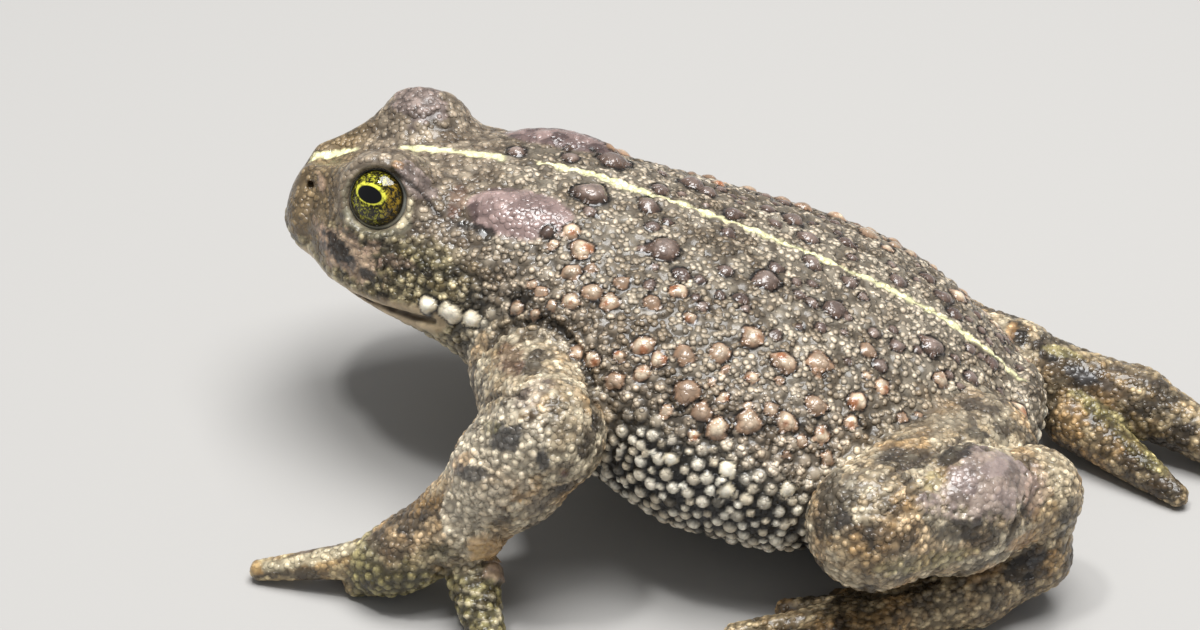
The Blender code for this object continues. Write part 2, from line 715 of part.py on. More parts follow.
def thinned(mesh, ratio):
    """Copy of a mesh with fewer faces, and its lowest points set level as flat soles."""
    carrier = bpy.data.objects.new("carrier", mesh)
    bpy.context.scene.collection.objects.link(carrier)
    thin = carrier.modifiers.new("fewer_faces", "DECIMATE")
    thin.ratio = ratio
    depsgraph = bpy.context.evaluated_depsgraph_get()
    result = bpy.data.meshes.new_from_object(carrier.evaluated_get(depsgraph))
    bpy.data.objects.remove(carrier)
    for vertex in result.vertices:
        if vertex.co.z < SOLE_LEVEL * MM:
            vertex.co.z = 0.0
    result.update()
    return result


def flesh_node(node):
    kind = node.rsplit("_", 1)[0] if node.endswith(("left", "right")) else node
    step, budget = NODE_PLAN[kind]
    low, high = node_box(node)
    origin, p = grid_points(low, high, step)
    points, triangles = zero_surface(node_field(node, p, step), origin, step)
    points, triangles = largest_surface(points, triangles)
    dense = bpy.data.meshes.new(node)
    dense.from_pydata(((points - (*STANCE_MIDDLE, 0)) * MM).tolist(), [], triangles.tolist())
    mesh = thinned(dense, budget / len(triangles))
    add_object(node, mesh, NODE_MATERIAL.get(kind, "limb_skin"))


def eye_node(side):
    sign = 1 if side == "left" else -1
    sphere = bmesh.new()
    bmesh.ops.create_icosphere(sphere, subdivisions=3, radius=EYE_RADIUS * MM)
    mesh = bpy.data.meshes.new("eye_" + side)
    sphere.to_mesh(mesh)
    sphere.free()
    made = add_object("eye_" + side, mesh, "eye")
    across = sign * EYE[1] - STANCE_MIDDLE[1]
    made.location = ((EYE[0] - STANCE_MIDDLE[0]) * MM, across * MM, EYE[2] * MM)


def main():
    for old in list(bpy.data.objects):
        bpy.data.objects.remove(old)
    for node in ("head", "torso"):
        flesh_node(node)
    for side in ("left", "right"):
        eye_node(side)
        for kind in ("upper_arm", "forearm", "hand", "thigh", "shank", "foot"):
            flesh_node(kind + "_" + side)


if __name__ == "__main__":
    main()
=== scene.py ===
"""Looks of the life-size natterjack toad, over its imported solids.

Metres in the scene, millimetres while the shape is worked out.
The toad faces -X, its left side is -Y, +Z is up and the floor is z = 0.
One skin replaces all nodes of flesh. It follows the same fields as the solids, on a fine
grid, and is then raised into warts and granules. Two finer eyes replace the plain ones.
"""

import itertools
import math

import bmesh
import bpy
import numpy as np
from mathutils import Matrix, kdtree


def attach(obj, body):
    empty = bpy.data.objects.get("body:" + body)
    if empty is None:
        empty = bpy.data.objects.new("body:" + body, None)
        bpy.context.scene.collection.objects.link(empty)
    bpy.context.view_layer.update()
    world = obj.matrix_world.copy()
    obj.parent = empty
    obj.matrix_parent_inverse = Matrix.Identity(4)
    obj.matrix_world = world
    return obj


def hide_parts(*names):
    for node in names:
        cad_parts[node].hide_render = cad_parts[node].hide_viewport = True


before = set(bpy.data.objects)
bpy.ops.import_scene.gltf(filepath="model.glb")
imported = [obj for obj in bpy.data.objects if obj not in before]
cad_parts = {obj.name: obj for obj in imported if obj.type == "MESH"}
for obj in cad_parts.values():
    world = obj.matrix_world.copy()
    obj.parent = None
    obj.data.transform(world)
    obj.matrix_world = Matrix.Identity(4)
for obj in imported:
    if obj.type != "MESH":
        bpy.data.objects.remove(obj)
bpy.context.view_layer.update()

MM = 0.001
SEED = 7

# Driving dimensions, in millimetres
SNOUT_VENT = 65.0
BODY_WIDTH = 39.6
EYE_RADIUS = 2.9
STANCE_MIDDLE = (11.6, -3.5)

# Stations along the trunk, in parts of SNOUT_VENT behind the snout, then the half width
# in parts of half the BODY_WIDTH, how far the soft belly sags to the left, the heights of
# the trunk's top, widest line and underside, and the share of the half width that the right
# side has, because the toad leans to the left
TRUNK_STATIONS = [
    (0.045, 0.30, 0.0, 22.9, 19.3, 16.2, 1.00),
    (0.090, 0.45, 0.0, 24.4, 19.0, 15.2, 1.00),
    (0.155, 0.545, 0.0, 25.3, 18.4, 13.7, 0.98),
    (0.235, 0.61, 0.0, 25.6, 17.4, 11.0, 0.93),
    (0.310, 0.66, -0.3, 25.6, 16.0, 7.8, 0.85),
    (0.400, 0.79, -1.2, 25.1, 14.2, 5.2, 0.84),
    (0.495, 0.91, -2.2, 23.8, 12.4, 3.2, 0.87),
    (0.590, 0.985, -2.8, 22.2, 11.0, 1.8, 0.90),
    (0.685, 0.99, -2.8, 20.4, 10.0, 1.4, 0.92),
    (0.775, 0.90, -2.2, 18.2, 9.2, 1.8, 0.93),
    (0.850, 0.74, -1.4, 15.8, 8.6, 2.6, 0.89),
    (0.915, 0.54, -0.6, 13.0, 7.8, 3.4, 0.82),
    (0.955, 0.37, 0.0, 10.9, 7.4, 4.0, 0.74),
]
SNOUT_X = -SNOUT_VENT * 0.53
SNOUT_CAP = 3.2
VENT_CAP = 2.4
SECTION_POWER = 2.1


def smooth_profile(knots, values):
    """Curve through the values at the knots, with slopes that don't overshoot."""
    knots = np.asarray(knots, float)
    values = np.asarray(values, float)
    steps = np.diff(knots)
    secants = np.diff(values) / steps
    inner = np.where(
        secants[1:] * secants[:-1] > 0,
        2 * secants[1:] * secants[:-1] / (secants[1:] + secants[:-1] + 1e-12),
        0.0,
    )
    slopes = np.concatenate([secants[:1], inner, secants[-1:]])

    def profile(x):
        spot = np.clip(np.searchsorted(knots, x) - 1, 0, len(steps) - 1)
        step = steps[spot]
        t = np.clip((x - knots[spot]) / step, 0, 1)
        rise = values[spot + 1] - values[spot]
        start, end = slopes[spot] * step, slopes[spot + 1] * step
        return (
            values[spot]
            + start * t
            + (3 * rise - 2 * start - end) * t**2
            + (start + end - 2 * rise) * t**3
        )

    return profile


COLUMNS = np.array(TRUNK_STATIONS).T
STATION_X = SNOUT_X + COLUMNS[0] * SNOUT_VENT
HALF_WIDTH = smooth_profile(STATION_X, COLUMNS[1] * BODY_WIDTH / 2)
SAG, TOP, WIDEST, UNDERSIDE, RIGHT_SHARE = (smooth_profile(STATION_X, c) for c in COLUMNS[2:])


# Fields of simple forms
def length(v):
    return np.sqrt((v * v).sum(-1))


def ball(p, centre, radius):
    return length(p - np.array(centre)) - radius


def bone(p, start, end, start_radius, end_radius):
    """Tapered round bar between two points."""
    start = np.array(start)
    along = np.array(end) - start
    t = np.clip(((p - start) @ along) / (along @ along), 0, 1)
    radius = start_radius + t * (end_radius - start_radius)
    return length(p - start - t[..., None] * along) - radius


def egg(p, centre, radii, forward=(1, 0, 0), up=(0, 0, 1)):
    """Ellipsoid whose three radii lie along forward, sideways and up."""
    forward = np.array(forward) / np.linalg.norm(forward)
    side = np.cross(up, forward)
    side /= np.linalg.norm(side)
    axes = np.stack([forward, side, np.cross(forward, side)], -1)
    q = ((p - np.array(centre)) @ axes) / np.array(radii)
    reach = length(q)
    return reach * (reach - 1) / np.maximum(length(q / np.array(radii)), 1e-9)


def join(a, b, fillet):
    """Union of two fields with a fillet where they meet."""
    h = np.clip(0.5 + 0.5 * (b - a) / fillet, 0, 1)
    return b * (1 - h) + a * h - fillet * h * (1 - h)


def join_all(fields, fillet):
    total = fields[0]
    for field in fields[1:]:
        total = join(total, field, fillet)
    return total


def carve(a, b, fillet):
    """Field a with b cut out of it, and the rim rounded."""
    return -join(-a, b, fillet)


def around(p, spots, room):
    """Which points lie in the box round some spots, with room on every side."""
    low, high = np.min(spots, axis=0) - room, np.max(spots, axis=0) + room
    return ((p > low) & (p < high)).all(-1)


def mirrored(p):
    """Points brought to the toad's left half, where the paired forms are written."""
    q = p.copy()
    q[..., 1] = -np.abs(q[..., 1])
    return q


def middle(a, b, share=0.5):
    return (1 - share) * np.array(a) + share * np.array(b)


def ramp(values, start, end):
    """From 0 at start to 1 at end, with soft ends."""
    t = np.clip((values - start) / (end - start), 0, 1)
    return t * t * (3 - 2 * t)


# Trunk: head, neck and belly as one loft of rounded sections
def on_stations(x):
    return np.clip(x, STATION_X[0], STATION_X[-1])


def half_width(x, y):
    """Half width of the trunk on the side where y, counted from its middle, lies."""
    return HALF_WIDTH(x) * np.where(y > 0, RIGHT_SHARE(x), 1.0)


def trunk(p):
    x, z = p[..., 0], p[..., 2]
    near = on_stations(x)
    y = p[..., 1] - SAG(near)
    past = np.where(x < near, (near - x) / SNOUT_CAP, (x - near) / VENT_CAP)
    widest = WIDEST(near)
    rise = z - widest
    height = np.where(rise > 0, TOP(near) - widest, widest - UNDERSIDE(near))
    power = SECTION_POWER
    q = (np.abs(y) / half_width(near, y)) ** power + (np.abs(rise) / height) ** power + past**power
    q = q ** (1 / power)
    arm = np.sqrt((x - near) ** 2 + y**2 + rise**2)
    return arm * (1 - 1 / np.maximum(q, 1e-6)) + np.where(q < 1e-6, -height, 0)


def trunk_point(x, angle):
    """Point of the trunk's surface at x, at an angle in degrees up from the widest line.

    Angles from 0 to 90 are on the left side, and from 90 to 180 on the right."""
    x = np.asarray(x, float)
    turn = np.radians(angle)
    bend = 2 / SECTION_POWER
    across, up = np.cos(turn), np.sin(turn)
    widest = WIDEST(x)
    height = np.where(up > 0, TOP(x) - widest, widest - UNDERSIDE(x))
    y = SAG(x) - half_width(x, -across) * np.sign(across) * np.abs(across) ** bend
    z = widest + height * np.sign(up) * np.abs(up) ** bend
    return np.stack([x, y, z], -1)


def girth_angle(p):
    """The angle that trunk_point takes, for points on the trunk: -90 to 270 degrees."""
    x = on_stations(p[:, 0])
    y = p[:, 1] - SAG(x)
    rise = p[:, 2] - WIDEST(x)
    height = np.where(rise > 0, TOP(x) - WIDEST(x), WIDEST(x) - UNDERSIDE(x))
    bend = SECTION_POWER / 2
    across = -np.sign(y) * np.abs(y / half_width(x, y)) ** bend
    up = np.sign(rise) * np.abs(rise / height) ** bend
    angle = np.degrees(np.arctan2(up, across))
    return np.where(angle < -90, angle + 360, angle)


def slope(field, p, reach=0.05):
    """Unit direction in which a field grows."""
    steps = reach * np.eye(3)
    g = np.stack([field(p + step) - field(p - step) for step in steps], -1)
    return g / np.maximum(length(g), 1e-9)[..., None]


# Head
EYE = (-24.65, -5.7, 23.95)
GAZE = np.array((-0.05, -0.868, 0.49))
GAZE /= np.linalg.norm(GAZE)
BROW = (-24.5, -5.3, 23.8)
BROW_RADIUS = 3.95
NOSTRIL = (-31.9, -3.0, 22.6)
MOUTH_CORNER = (-18.6, -11.6, 17.2)
MOUTH_FRONT = (-35.0, 0.0, 18.0)
MOUTH_BEND = (-29.5, -9.2, 16.9)
LIP_RADIUS = 0.55
LIP_SPREAD = 0.78
LIP_SUNK = 0.22
GROOVE_RADIUS = 0.28
GROOVE_LIFT = 0.1
SNOUT_RIDGE = ((-32.2, -1.9, 22.5), (-27.0, -4.6, 24.4), 0.9, 1.3)
NOSTRIL_RADII = (0.5, 0.6, 0.3)
SOCKET_RADIUS = EYE_RADIUS + 0.03

# Opening between the lids, a cone along the gaze, and the rim round it: both in millimetres
# from the eye's middle
OPENING_START, OPENING_END = 1.0, 6.0
OPENING_RADII = (2.45, 3.5)
LID_OUT, LID_RING = 1.4, 2.98
LID_THICK, LID_THICKER_ABOVE = 0.42, 0.16

# Fillets of the head's forms
BROW_FILLET, RIDGE_FILLET, LIP_FILLET, MOUTH_FILLET = 1.8, 1.6, 0.9, 0.25
OPENING_FILLET, LID_FILLET, NOSTRIL_FILLET = 0.5, 0.45, 0.3


def mouth_line(count=9):
    """Points along the left half of the mouth, a bent curve from the snout to the corner."""
    t = np.linspace(0, 1, count)[:, None]
    front, bend, corner = np.array(MOUTH_FRONT), np.array(MOUTH_BEND), np.array(MOUTH_CORNER)
    return (1 - t) ** 2 * front + 2 * t * (1 - t) * bend + t**2 * corner


def onto_trunk(points, lift=0.0):
    """Points moved square to the trunk until they lie at a height over its surface."""
    for _ in range(6):
        points = points - (trunk(points) - lift)[..., None] * slope(trunk, points)
    return points


def bar_chain(p, points, radius):
    total = bone(p, points[0], points[1], radius, radius)
    for start, end in zip(points[1:-1], points[2:]):
        total = np.minimum(total, bone(p, start, end, radius, radius))
    return total


def head_forms(p, field):
    """Brows, lids, sockets, nostrils, lips and the line of the mouth."""
    q = mirrored(p)
    eye = np.array(EYE)
    field = join(field, ball(q, BROW, BROW_RADIUS), BROW_FILLET)
    field = join(field, bone(q, *SNOUT_RIDGE), RIDGE_FILLET)
    for spread in (LIP_SPREAD, -LIP_SPREAD):
        lip = onto_trunk(mouth_line() + (0, 0, spread), -LIP_SUNK)
        field = join(field, bar_chain(q, lip, LIP_RADIUS), LIP_FILLET)
    groove = bar_chain(q, onto_trunk(mouth_line(), GROOVE_LIFT), GROOVE_RADIUS)
    field = carve(field, groove, MOUTH_FILLET)
    opening = bone(q, eye + OPENING_START * GAZE, eye + OPENING_END * GAZE, *OPENING_RADII)
    field = carve(field, opening, OPENING_FILLET)
    field = join(field, lid_ring(q), LID_FILLET)
    nostril = egg(q, NOSTRIL, NOSTRIL_RADII, forward=(1, -0.3, 0.7), up=(0.7, 0.3, -1))
    field = carve(field, nostril, NOSTRIL_FILLET)
    return np.maximum(field, SOCKET_RADIUS - length(q - eye))


def mouth_distance(p):
    """How far each point is from the line of the mouth, on either side."""
    return bar_chain(mirrored(p), onto_trunk(mouth_line(), GROOVE_LIFT), 0.0)


def lid_ring(q):
    """Rim of the lids, a ring round the gaze, thicker above than below."""
    eye = np.array(EYE)
    side = np.cross((0, 0, 1), GAZE)
    side /= np.linalg.norm(side)
    up = np.cross(GAZE, side)
    offset = q - (eye + LID_OUT * GAZE)
    along = offset @ GAZE
    across, rise = offset @ side, offset @ up
    out = np.sqrt(across**2 + rise**2)
    thick = LID_THICK + LID_THICKER_ABOVE * rise / np.maximum(out, 1e-6)
    return np.sqrt((out - LID_RING) ** 2 + along**2) - thick


# Glands
LEFT_PAROTOID = (-12.6, -6.3, 23.9)
RIGHT_PAROTOID = (-12.6, 5.6, 23.7)
PAROTOID_RADII = (4.8, 2.4, 1.6)
PAROTOID_FILLET = 0.7


def parotoids(p):
    left = egg(p, LEFT_PAROTOID, PAROTOID_RADII, forward=(1, -0.1, -0.1), up=(0, -0.45, 0.9))
    right = egg(p, RIGHT_PAROTOID, PAROTOID_RADII, forward=(1, 0.1, -0.1), up=(0, 0.45, 0.9))
    return np.minimum(left, right)


# Limbs: the left ones as the photo shows them, the right ones as they fit what it hides
LEFT_ARM = {
    "shoulder": (-10.4, -13.0, 14.4),
    "elbow": (-6.5, -23.0, 15.8),
    "wrist": (-13.0, -24.6, 7.2),
    "palm": (-19.4, -26.2, 3.3),
    "fingers": [
        ((-11.4, -27.2, 3.4), (-8.6, -32.1, 0.8), 2.0, 1.1),
        ((-19.0, -26.8, 2.4), (-21.3, -27.1, 0.8), 1.3, 0.9),
        ((-20.0, -26.2, 3.2), (-29.4, -27.2, 0.85), 1.6, 0.85),
        ((-18.6, -24.6, 2.8), (-24.2, -24.3, 0.8), 1.3, 0.85),
    ],
}
RIGHT_ARM = {
    "shoulder": (-10.0, 11.6, 13.6),
    "elbow": (-4.6, 18.6, 7.6),
    "wrist": (-13.2, 20.6, 4.0),
    "palm": (-17.2, 20.4, 2.4),
    "fingers": [
        ((-17.0, 19.0, 2.2), (-21.0, 15.6, 0.8), 1.4, 0.9),
        ((-18.6, 19.8, 2.2), (-24.6, 17.6, 0.8), 1.3, 0.85),
        ((-18.8, 21.0, 2.2), (-27.2, 21.6, 0.8), 1.4, 0.85),
        ((-17.4, 22.2, 2.2), (-22.8, 25.4, 0.8), 1.3, 0.85),
    ],
}
LEFT_LEG = {
    "hip": (25.0, -8.0, 8.2),
    "knee": (19.2, -22.8, 11.7),
    "heel": (30.6, -13.4, 9.6),
    "ankle": (31.2, -14.6, 4.6),
    "instep": (27.0, -18.0, 2.9),
    "ball": (21.6, -21.2, 1.9),
    "toes": [
        ((21.6, -20.0, 2.0), (16.6, -19.4, 0.8), 1.3, 0.85),
        ((20.6, -20.8, 2.0), (12.8, -21.6, 0.8), 1.3, 0.85),
        ((20.0, -21.6, 2.0), (9.4, -25.4, 0.8), 1.4, 0.85),
        ((20.0, -22.4, 2.0), (7.8, -31.0, 0.8), 1.5, 0.85),
        ((20.8, -23.0, 2.0), (13.4, -31.4, 0.8), 1.4, 0.85),
    ],
}
RIGHT_LEG = {
    "hip": (22.8, 4.6, 5.9),
    "knee": (10.0, 13.8, 4.9),
    "heel": (26.8, 8.9, 5.9),
    "ankle": (29.4, 8.8, 5.6),
    "instep": (37.4, 8.4, 4.2),
    "ball": (43.0, 6.8, 2.8),
    "toes": [
        ((32.4, 5.8, 3.2), (41.8, 0.4, 0.9), 2.5, 0.95),
        ((43.6, 6.0, 2.4), (50.2, 2.6, 0.8), 1.3, 0.85),
        ((44.2, 6.8, 2.4), (55.0, 5.6, 0.8), 1.4, 0.85),
        ((44.2, 7.8, 2.4), (57.4, 10.6, 0.8), 1.5, 0.85),
        ((43.2, 8.8, 2.4), (51.4, 14.0, 0.8), 1.4, 0.85),
    ],
}
SHOULDER_RADIUS, ELBOW_RADIUS, WRIST_RADIUS = 4.9, 4.3, 3.4
HIP_RADIUS, KNEE_RADIUS, HEEL_RADIUS = 5.4, 4.8, 3.8
ANKLE_RADIUS, INSTEP_RADIUS, BALL_RADIUS = 2.8, 2.8, 2.1
MUSCLE_RADIUS, MUSCLE_PLACE = 4.5, 0.4
CALF_RADIUS, CALF_PLACE = 5.1, 0.52
PAD_RADII, PAD_PLACE, PAD_DROP = (5.2, 3.6, 2.7), 0.62, 0.6
PALM_FRONT_RADIUS = 1.8
HEEL_NARROWING = 0.4
LIMB_FILLET, DIGIT_FILLET, HAND_FILLET = 1.2, 0.9, 1.0
KNEE_FILLET, FOOT_FILLET = 0.7, 0.5
LEFT_ROOT_FILLET, RIGHT_ROOT_FILLET = 1.2, 1.4
HEAD_BACK = -10.0
FLESH_ROOM = 8.0


def upper_arm(p, arm):
    return bone(p, arm["shoulder"], arm["elbow"], SHOULDER_RADIUS, ELBOW_RADIUS)


def forearm(p, arm):
    core = bone(p, arm["elbow"], arm["wrist"], ELBOW_RADIUS, WRIST_RADIUS)
    muscle = ball(p, middle(arm["elbow"], arm["wrist"], MUSCLE_PLACE), MUSCLE_RADIUS)
    return join(core, muscle, LIMB_FILLET)


def hand(p, arm):
    """Palm as a thick pad, with four tapered fingers."""
    palm_axis = np.array(arm["wrist"]) - np.array(arm["palm"])
    pad = middle(arm["wrist"], arm["palm"], PAD_PLACE) - (0, 0, PAD_DROP)
    palm = egg(p, pad, PAD_RADII, forward=palm_axis)
    parts = [palm, bone(p, arm["wrist"], arm["palm"], WRIST_RADIUS, PALM_FRONT_RADIUS)]
    parts += [bone(p, *finger) for finger in arm["fingers"]]
    return join_all(parts, DIGIT_FILLET)


def thigh(p, leg):
    return bone(p, leg["hip"], leg["knee"], HIP_RADIUS, KNEE_RADIUS)


def shank(p, leg):
    core = bone(p, leg["knee"], leg["heel"], KNEE_RADIUS, HEEL_RADIUS)
    calf = ball(p, middle(leg["knee"], leg["heel"], CALF_PLACE), CALF_RADIUS)
    return join(core, calf, LIMB_FILLET)


def foot(p, leg):
    """Ankle bone, instep and five tapered toes."""
    parts = [
        bone(p, leg["heel"], leg["ankle"], HEEL_RADIUS - HEEL_NARROWING, ANKLE_RADIUS),
        bone(p, leg["ankle"], leg["instep"], ANKLE_RADIUS, INSTEP_RADIUS),
        bone(p, leg["instep"], leg["ball"], INSTEP_RADIUS, BALL_RADIUS),
    ]
    parts += [bone(p, *toe) for toe in leg["toes"]]
    return join_all(parts, DIGIT_FILLET)


def arm_field(p, arm):
    bent = join(upper_arm(p, arm), forearm(p, arm), LIMB_FILLET)
    return join(bent, hand(p, arm), HAND_FILLET)


def leg_field(p, leg):
    folded = join(thigh(p, leg), shank(p, leg), KNEE_FILLET)
    return join(folded, foot(p, leg), FOOT_FILLET)


def joints(limb):
    """The places of a limb's joints and tips."""
    tips = limb.get("fingers", limb.get("toes"))
    return [limb[key] for key in limb if key not in ("fingers", "toes")] + [t[1] for t in tips]


def flesh(p):
    """The whole toad's skin surface before its warts, cut off level at the floor."""
    field = trunk(p)
    front = p[:, 0] < HEAD_BACK
    field[front] = head_forms(p[front], field[front])
    for limb, form, fillet in (
        (LEFT_ARM, arm_field, LEFT_ROOT_FILLET),
        (RIGHT_ARM, arm_field, RIGHT_ROOT_FILLET),
        (LEFT_LEG, leg_field, LEFT_ROOT_FILLET),
        (RIGHT_LEG, leg_field, RIGHT_ROOT_FILLET),
    ):
        near = around(p, joints(limb), FLESH_ROOM)
        field[near] = join(field[near], form(p[near], limb), fillet)
    return np.maximum(join(field, parotoids(p), PAROTOID_FILLET), -p[:, 2])


# Meshing: coarse blocks that the surface may cross are cut into fine grid steps
BLOCK = 1.0
STEPS = 5
STEP = BLOCK / STEPS
BLOCK_REACH = 1.1
BATCHES = 12
PULLS = 2
GRID_LOW = np.array((-38.0, -36.0, -1.0))
GRID_HIGH = np.array((60.0, 27.0, 29.0))


def sampled_flesh():
    """The field on a fine grid, exact near the surface and only a sign elsewhere."""
    blocks = np.round((GRID_HIGH - GRID_LOW) / BLOCK).astype(int)
    centres = GRID_LOW + BLOCK * (np.indices(blocks).reshape(3, -1).T + 0.5)
    coarse = flesh(centres)
    values = np.repeat(coarse.reshape(blocks), STEPS, 0)
    values = np.repeat(np.repeat(values, STEPS, 1), STEPS, 2).astype(np.float32)
    crossed = np.flatnonzero(np.abs(coarse) < BLOCK_REACH)
    offsets = np.indices((STEPS,) * 3).reshape(3, -1).T
    for some in np.array_split(crossed, BATCHES):
        corner = np.stack(np.unravel_index(some, blocks), -1) * STEPS
        spots = (corner[:, None] + offsets).reshape(-1, 3)
        values[tuple(spots.T)] = flesh(GRID_LOW + STEP * spots)
    return values


CUBE_CORNERS = list(itertools.product((0, 1), repeat=3))
CUBE_EDGES = [
    (a, b) for a, b in itertools.combinations(range(8), 2)
    if sum(i != j for i, j in zip(CUBE_CORNERS[a], CUBE_CORNERS[b])) == 1
]


def surface_net(values):
    """Quads over the zero surface, with one vertex in each grid cell that it crosses."""
    inside = values < 0
    shape = np.array(values.shape)
    count = np.zeros(shape - 1, np.int8)
    for i, j, k in CUBE_CORNERS:
        count += inside[i:shape[0] - 1 + i, j:shape[1] - 1 + j, k:shape[2] - 1 + k]
    cells = np.argwhere((count > 0) & (count < 8))
    number = np.full(shape - 1, -1, np.int32)
    number[tuple(cells.T)] = np.arange(len(cells))
    at_corner = [values[tuple((cells + corner).T)] for corner in CUBE_CORNERS]
    total, crossings = np.zeros((len(cells), 3)), np.zeros(len(cells))
    for a, b in CUBE_EDGES:
        start, end = at_corner[a], at_corner[b]
        crossed = (start < 0) != (end < 0)
        share = np.where(crossed, start / np.where(crossed, start - end, 1), 0)[:, None]
        place = (1 - share) * CUBE_CORNERS[a] + share * CUBE_CORNERS[b]
        total += place * crossed[:, None]
        crossings += crossed
    points = GRID_LOW + STEP * (cells + total / crossings[:, None])
    quads = []
    for axis in range(3):
        first = np.take(inside, range(shape[axis] - 1), axis)
        change = first != np.take(inside, range(1, shape[axis]), axis)
        edges = np.argwhere(change)
        others = [other for other in range(3) if other != axis]
        edges = edges[(edges[:, others] > 0).all(1)]
        one, two = np.eye(3, dtype=int)[others]
        ring = [number[tuple((edges - back).T)] for back in (0 * one, one, one + two, two)]
        ring = np.stack(ring, -1)
        turned = first[tuple(edges.T)] == (axis != 1)
        ring[~turned] = ring[~turned][:, ::-1]
        quads.append(ring)
    return points, np.concatenate(quads)


def corner_normals(points, quads):
    """Unit normal at each vertex, from the diagonals of the quads round it."""
    a, b, c, d = points[quads.T]
    square = np.cross(c - a, d - b)
    corners = quads.ravel()
    spread = np.repeat(square, 4, axis=0)
    sums = [np.bincount(corners, spread[:, axis], len(points)) for axis in range(3)]
    normals = np.stack(sums, -1)
    return normals / np.maximum(length(normals), 1e-12)[:, None]


def smooth_skin():
    """Vertices, quads and normals of the bare skin."""
    points, quads = surface_net(sampled_flesh())
    normals = corner_normals(points, quads)
    for _ in range(PULLS):
        points = points - np.clip(flesh(points), -STEP, STEP)[:, None] * normals
        normals = corner_normals(points, quads)
    return points, quads, normals


# Camera of the photograph
CAMERA_AZIMUTH, CAMERA_ELEVATION = 14.0, 35.0
CAMERA_DISTANCE = 230.0
CAMERA_TARGET = (-7.7, -0.7, 11.7)
FOCAL_PIXELS = 2714.0
PHOTO_WIDTH, PHOTO_HEIGHT = 1200, 630
SENSOR_WIDTH = 36.0


def camera_axes():
    """Unit vectors to the right, up and back of the camera."""
    azimuth, elevation = math.radians(CAMERA_AZIMUTH), math.radians(CAMERA_ELEVATION)
    back = np.array((
        math.sin(azimuth) * math.cos(elevation),
        -math.cos(azimuth) * math.cos(elevation),
        math.sin(elevation),
    ))
    right = np.array((math.cos(azimuth), math.sin(azimuth), 0.0))
    return right, np.cross(back, right), back


def photo_pixels(p):
    """Where the camera sees points, in pixels of the photograph, and how far off they are."""
    right, up, back = camera_axes()
    offset = p - (np.array(CAMERA_TARGET) + CAMERA_DISTANCE * back)
    depth = -(offset @ back)
    across = PHOTO_WIDTH / 2 + FOCAL_PIXELS * (offset @ right) / depth
    down = PHOTO_HEIGHT / 2 - FOCAL_PIXELS * (offset @ up) / depth
    return across, down, depth


# Random helpers
HASH = np.random.default_rng(SEED).random(4096)


def noise(p, size, seed=0):
    """Smooth random values from -1 to 1, with features of a size in millimetres."""
    q = p / size + 17.3 * (seed + 1)
    cell = np.floor(q).astype(np.int64)
    t = q - cell
    t = t * t * (3 - 2 * t)
    total = np.zeros(len(p))
    for corner in CUBE_CORNERS:
        weight = np.prod(np.where(corner, t, 1 - t), axis=-1)
        key = (cell + corner) @ np.array((73856093, 19349663, 83492791))
        total += weight * HASH[np.abs(key + 7919 * seed) % len(HASH)]
    return 2 * total - 1


def uneven(p, amount, size, number):
    """Noise of an amount, which frays an edge or varies a tone."""
    return amount * noise(p, size, number)


def srgb(red, green, blue):
    """Linear colour of an everyday one from 0 to 255."""
    c = np.array((red, green, blue)) / 255
    return np.where(c < 0.04045, c / 12.92, ((c + 0.055) / 1.055) ** 2.4)


# Zones of skin: the granules' two colours and the colour between them, dark skin with painted
# shade in the gaps, their spacing and height in millimetres, their radius in parts of the
# spacing, how strongly the gaps show, and how strong the fine granules between them are
LIGHT, DARK, GAP_COLOUR_AND_SHADE, SPACING, HEIGHT, EDGE, GAP_SHOWS, FINE = range(8)
ZONES = {
    "back": ((202, 188, 166), (138, 123, 103), (50, 42, 31), 0.98, 0.20, 0.58, 0.3, 0.95),
    "upper_flank": ((230, 210, 184), (142, 124, 102), (30, 24, 16), 0.80, 0.28, 0.54, 0.7, 0.85),
    "lower_flank": ((255, 248, 230), (218, 204, 178), (13, 10, 7), 0.84, 0.36, 0.53, 1.0, 0.25),
    "belly": ((240, 230, 204), (206, 194, 166), (44, 38, 29), 0.95, 0.24, 0.54, 0.9, 0.2),
    "head": ((176, 160, 138), (116, 101, 83), (48, 38, 30), 0.86, 0.12, 0.62, 0.6, 0.5),
    "snout": ((146, 125, 93), (104, 87, 61), (70, 54, 40), 0.80, 0.03, 0.62, 0.2, 0.6),
    "neck": ((222, 206, 162), (134, 119, 82), (28, 22, 14), 0.62, 0.20, 0.55, 0.75, 0.7),
    "throat": ((224, 210, 174), (164, 148, 114), (52, 44, 31), 0.72, 0.18, 0.56, 0.8, 0.3),
    "limb": ((242, 226, 194), (180, 159, 127), (60, 49, 36), 0.56, 0.14, 0.57, 0.5, 0.5),
    "palm": ((186, 174, 122), (88, 78, 50), (38, 32, 20), 0.66, 0.18, 0.54, 0.8, 0.3),
    "digit": ((226, 204, 158), (150, 122, 84), (66, 50, 32), 0.50, 0.05, 0.56, 0.4, 0.4),
    "sole": ((220, 197, 156), (150, 127, 93), (50, 40, 27), 0.56, 0.10, 0.56, 0.65, 0.5),
}
ZONE_BLEND = 0.7
STRIPE_ANGLE = 96

# Where the zones meet, each from its start to its full strength: degrees up from the widest
# line, and then how far forward x lies
BACK_FROM, UPPER_FLANK_FROM, LOWER_FLANK_FROM = (34, 56), (12, 32), (-62, -40)
CROWN_FROM, THROAT_BELOW = (26, 44), (4, 14)
HEAD_FROM, SNOUT_FROM, FINGERS_FROM = (13, 18), (27, 30), (20.5, 22.5)
ZONE_WANDER = 6

# How high the palm's skin reaches, on the left hand and on the right, and its soft edge
PALM_TOPS = (6.0, 2.0)
PALM_EDGE = 1.6


def blend_by(shares):
    total = sum(shares.values())
    return {name: share / np.maximum(total, 1e-9) for name, share in shares.items()}


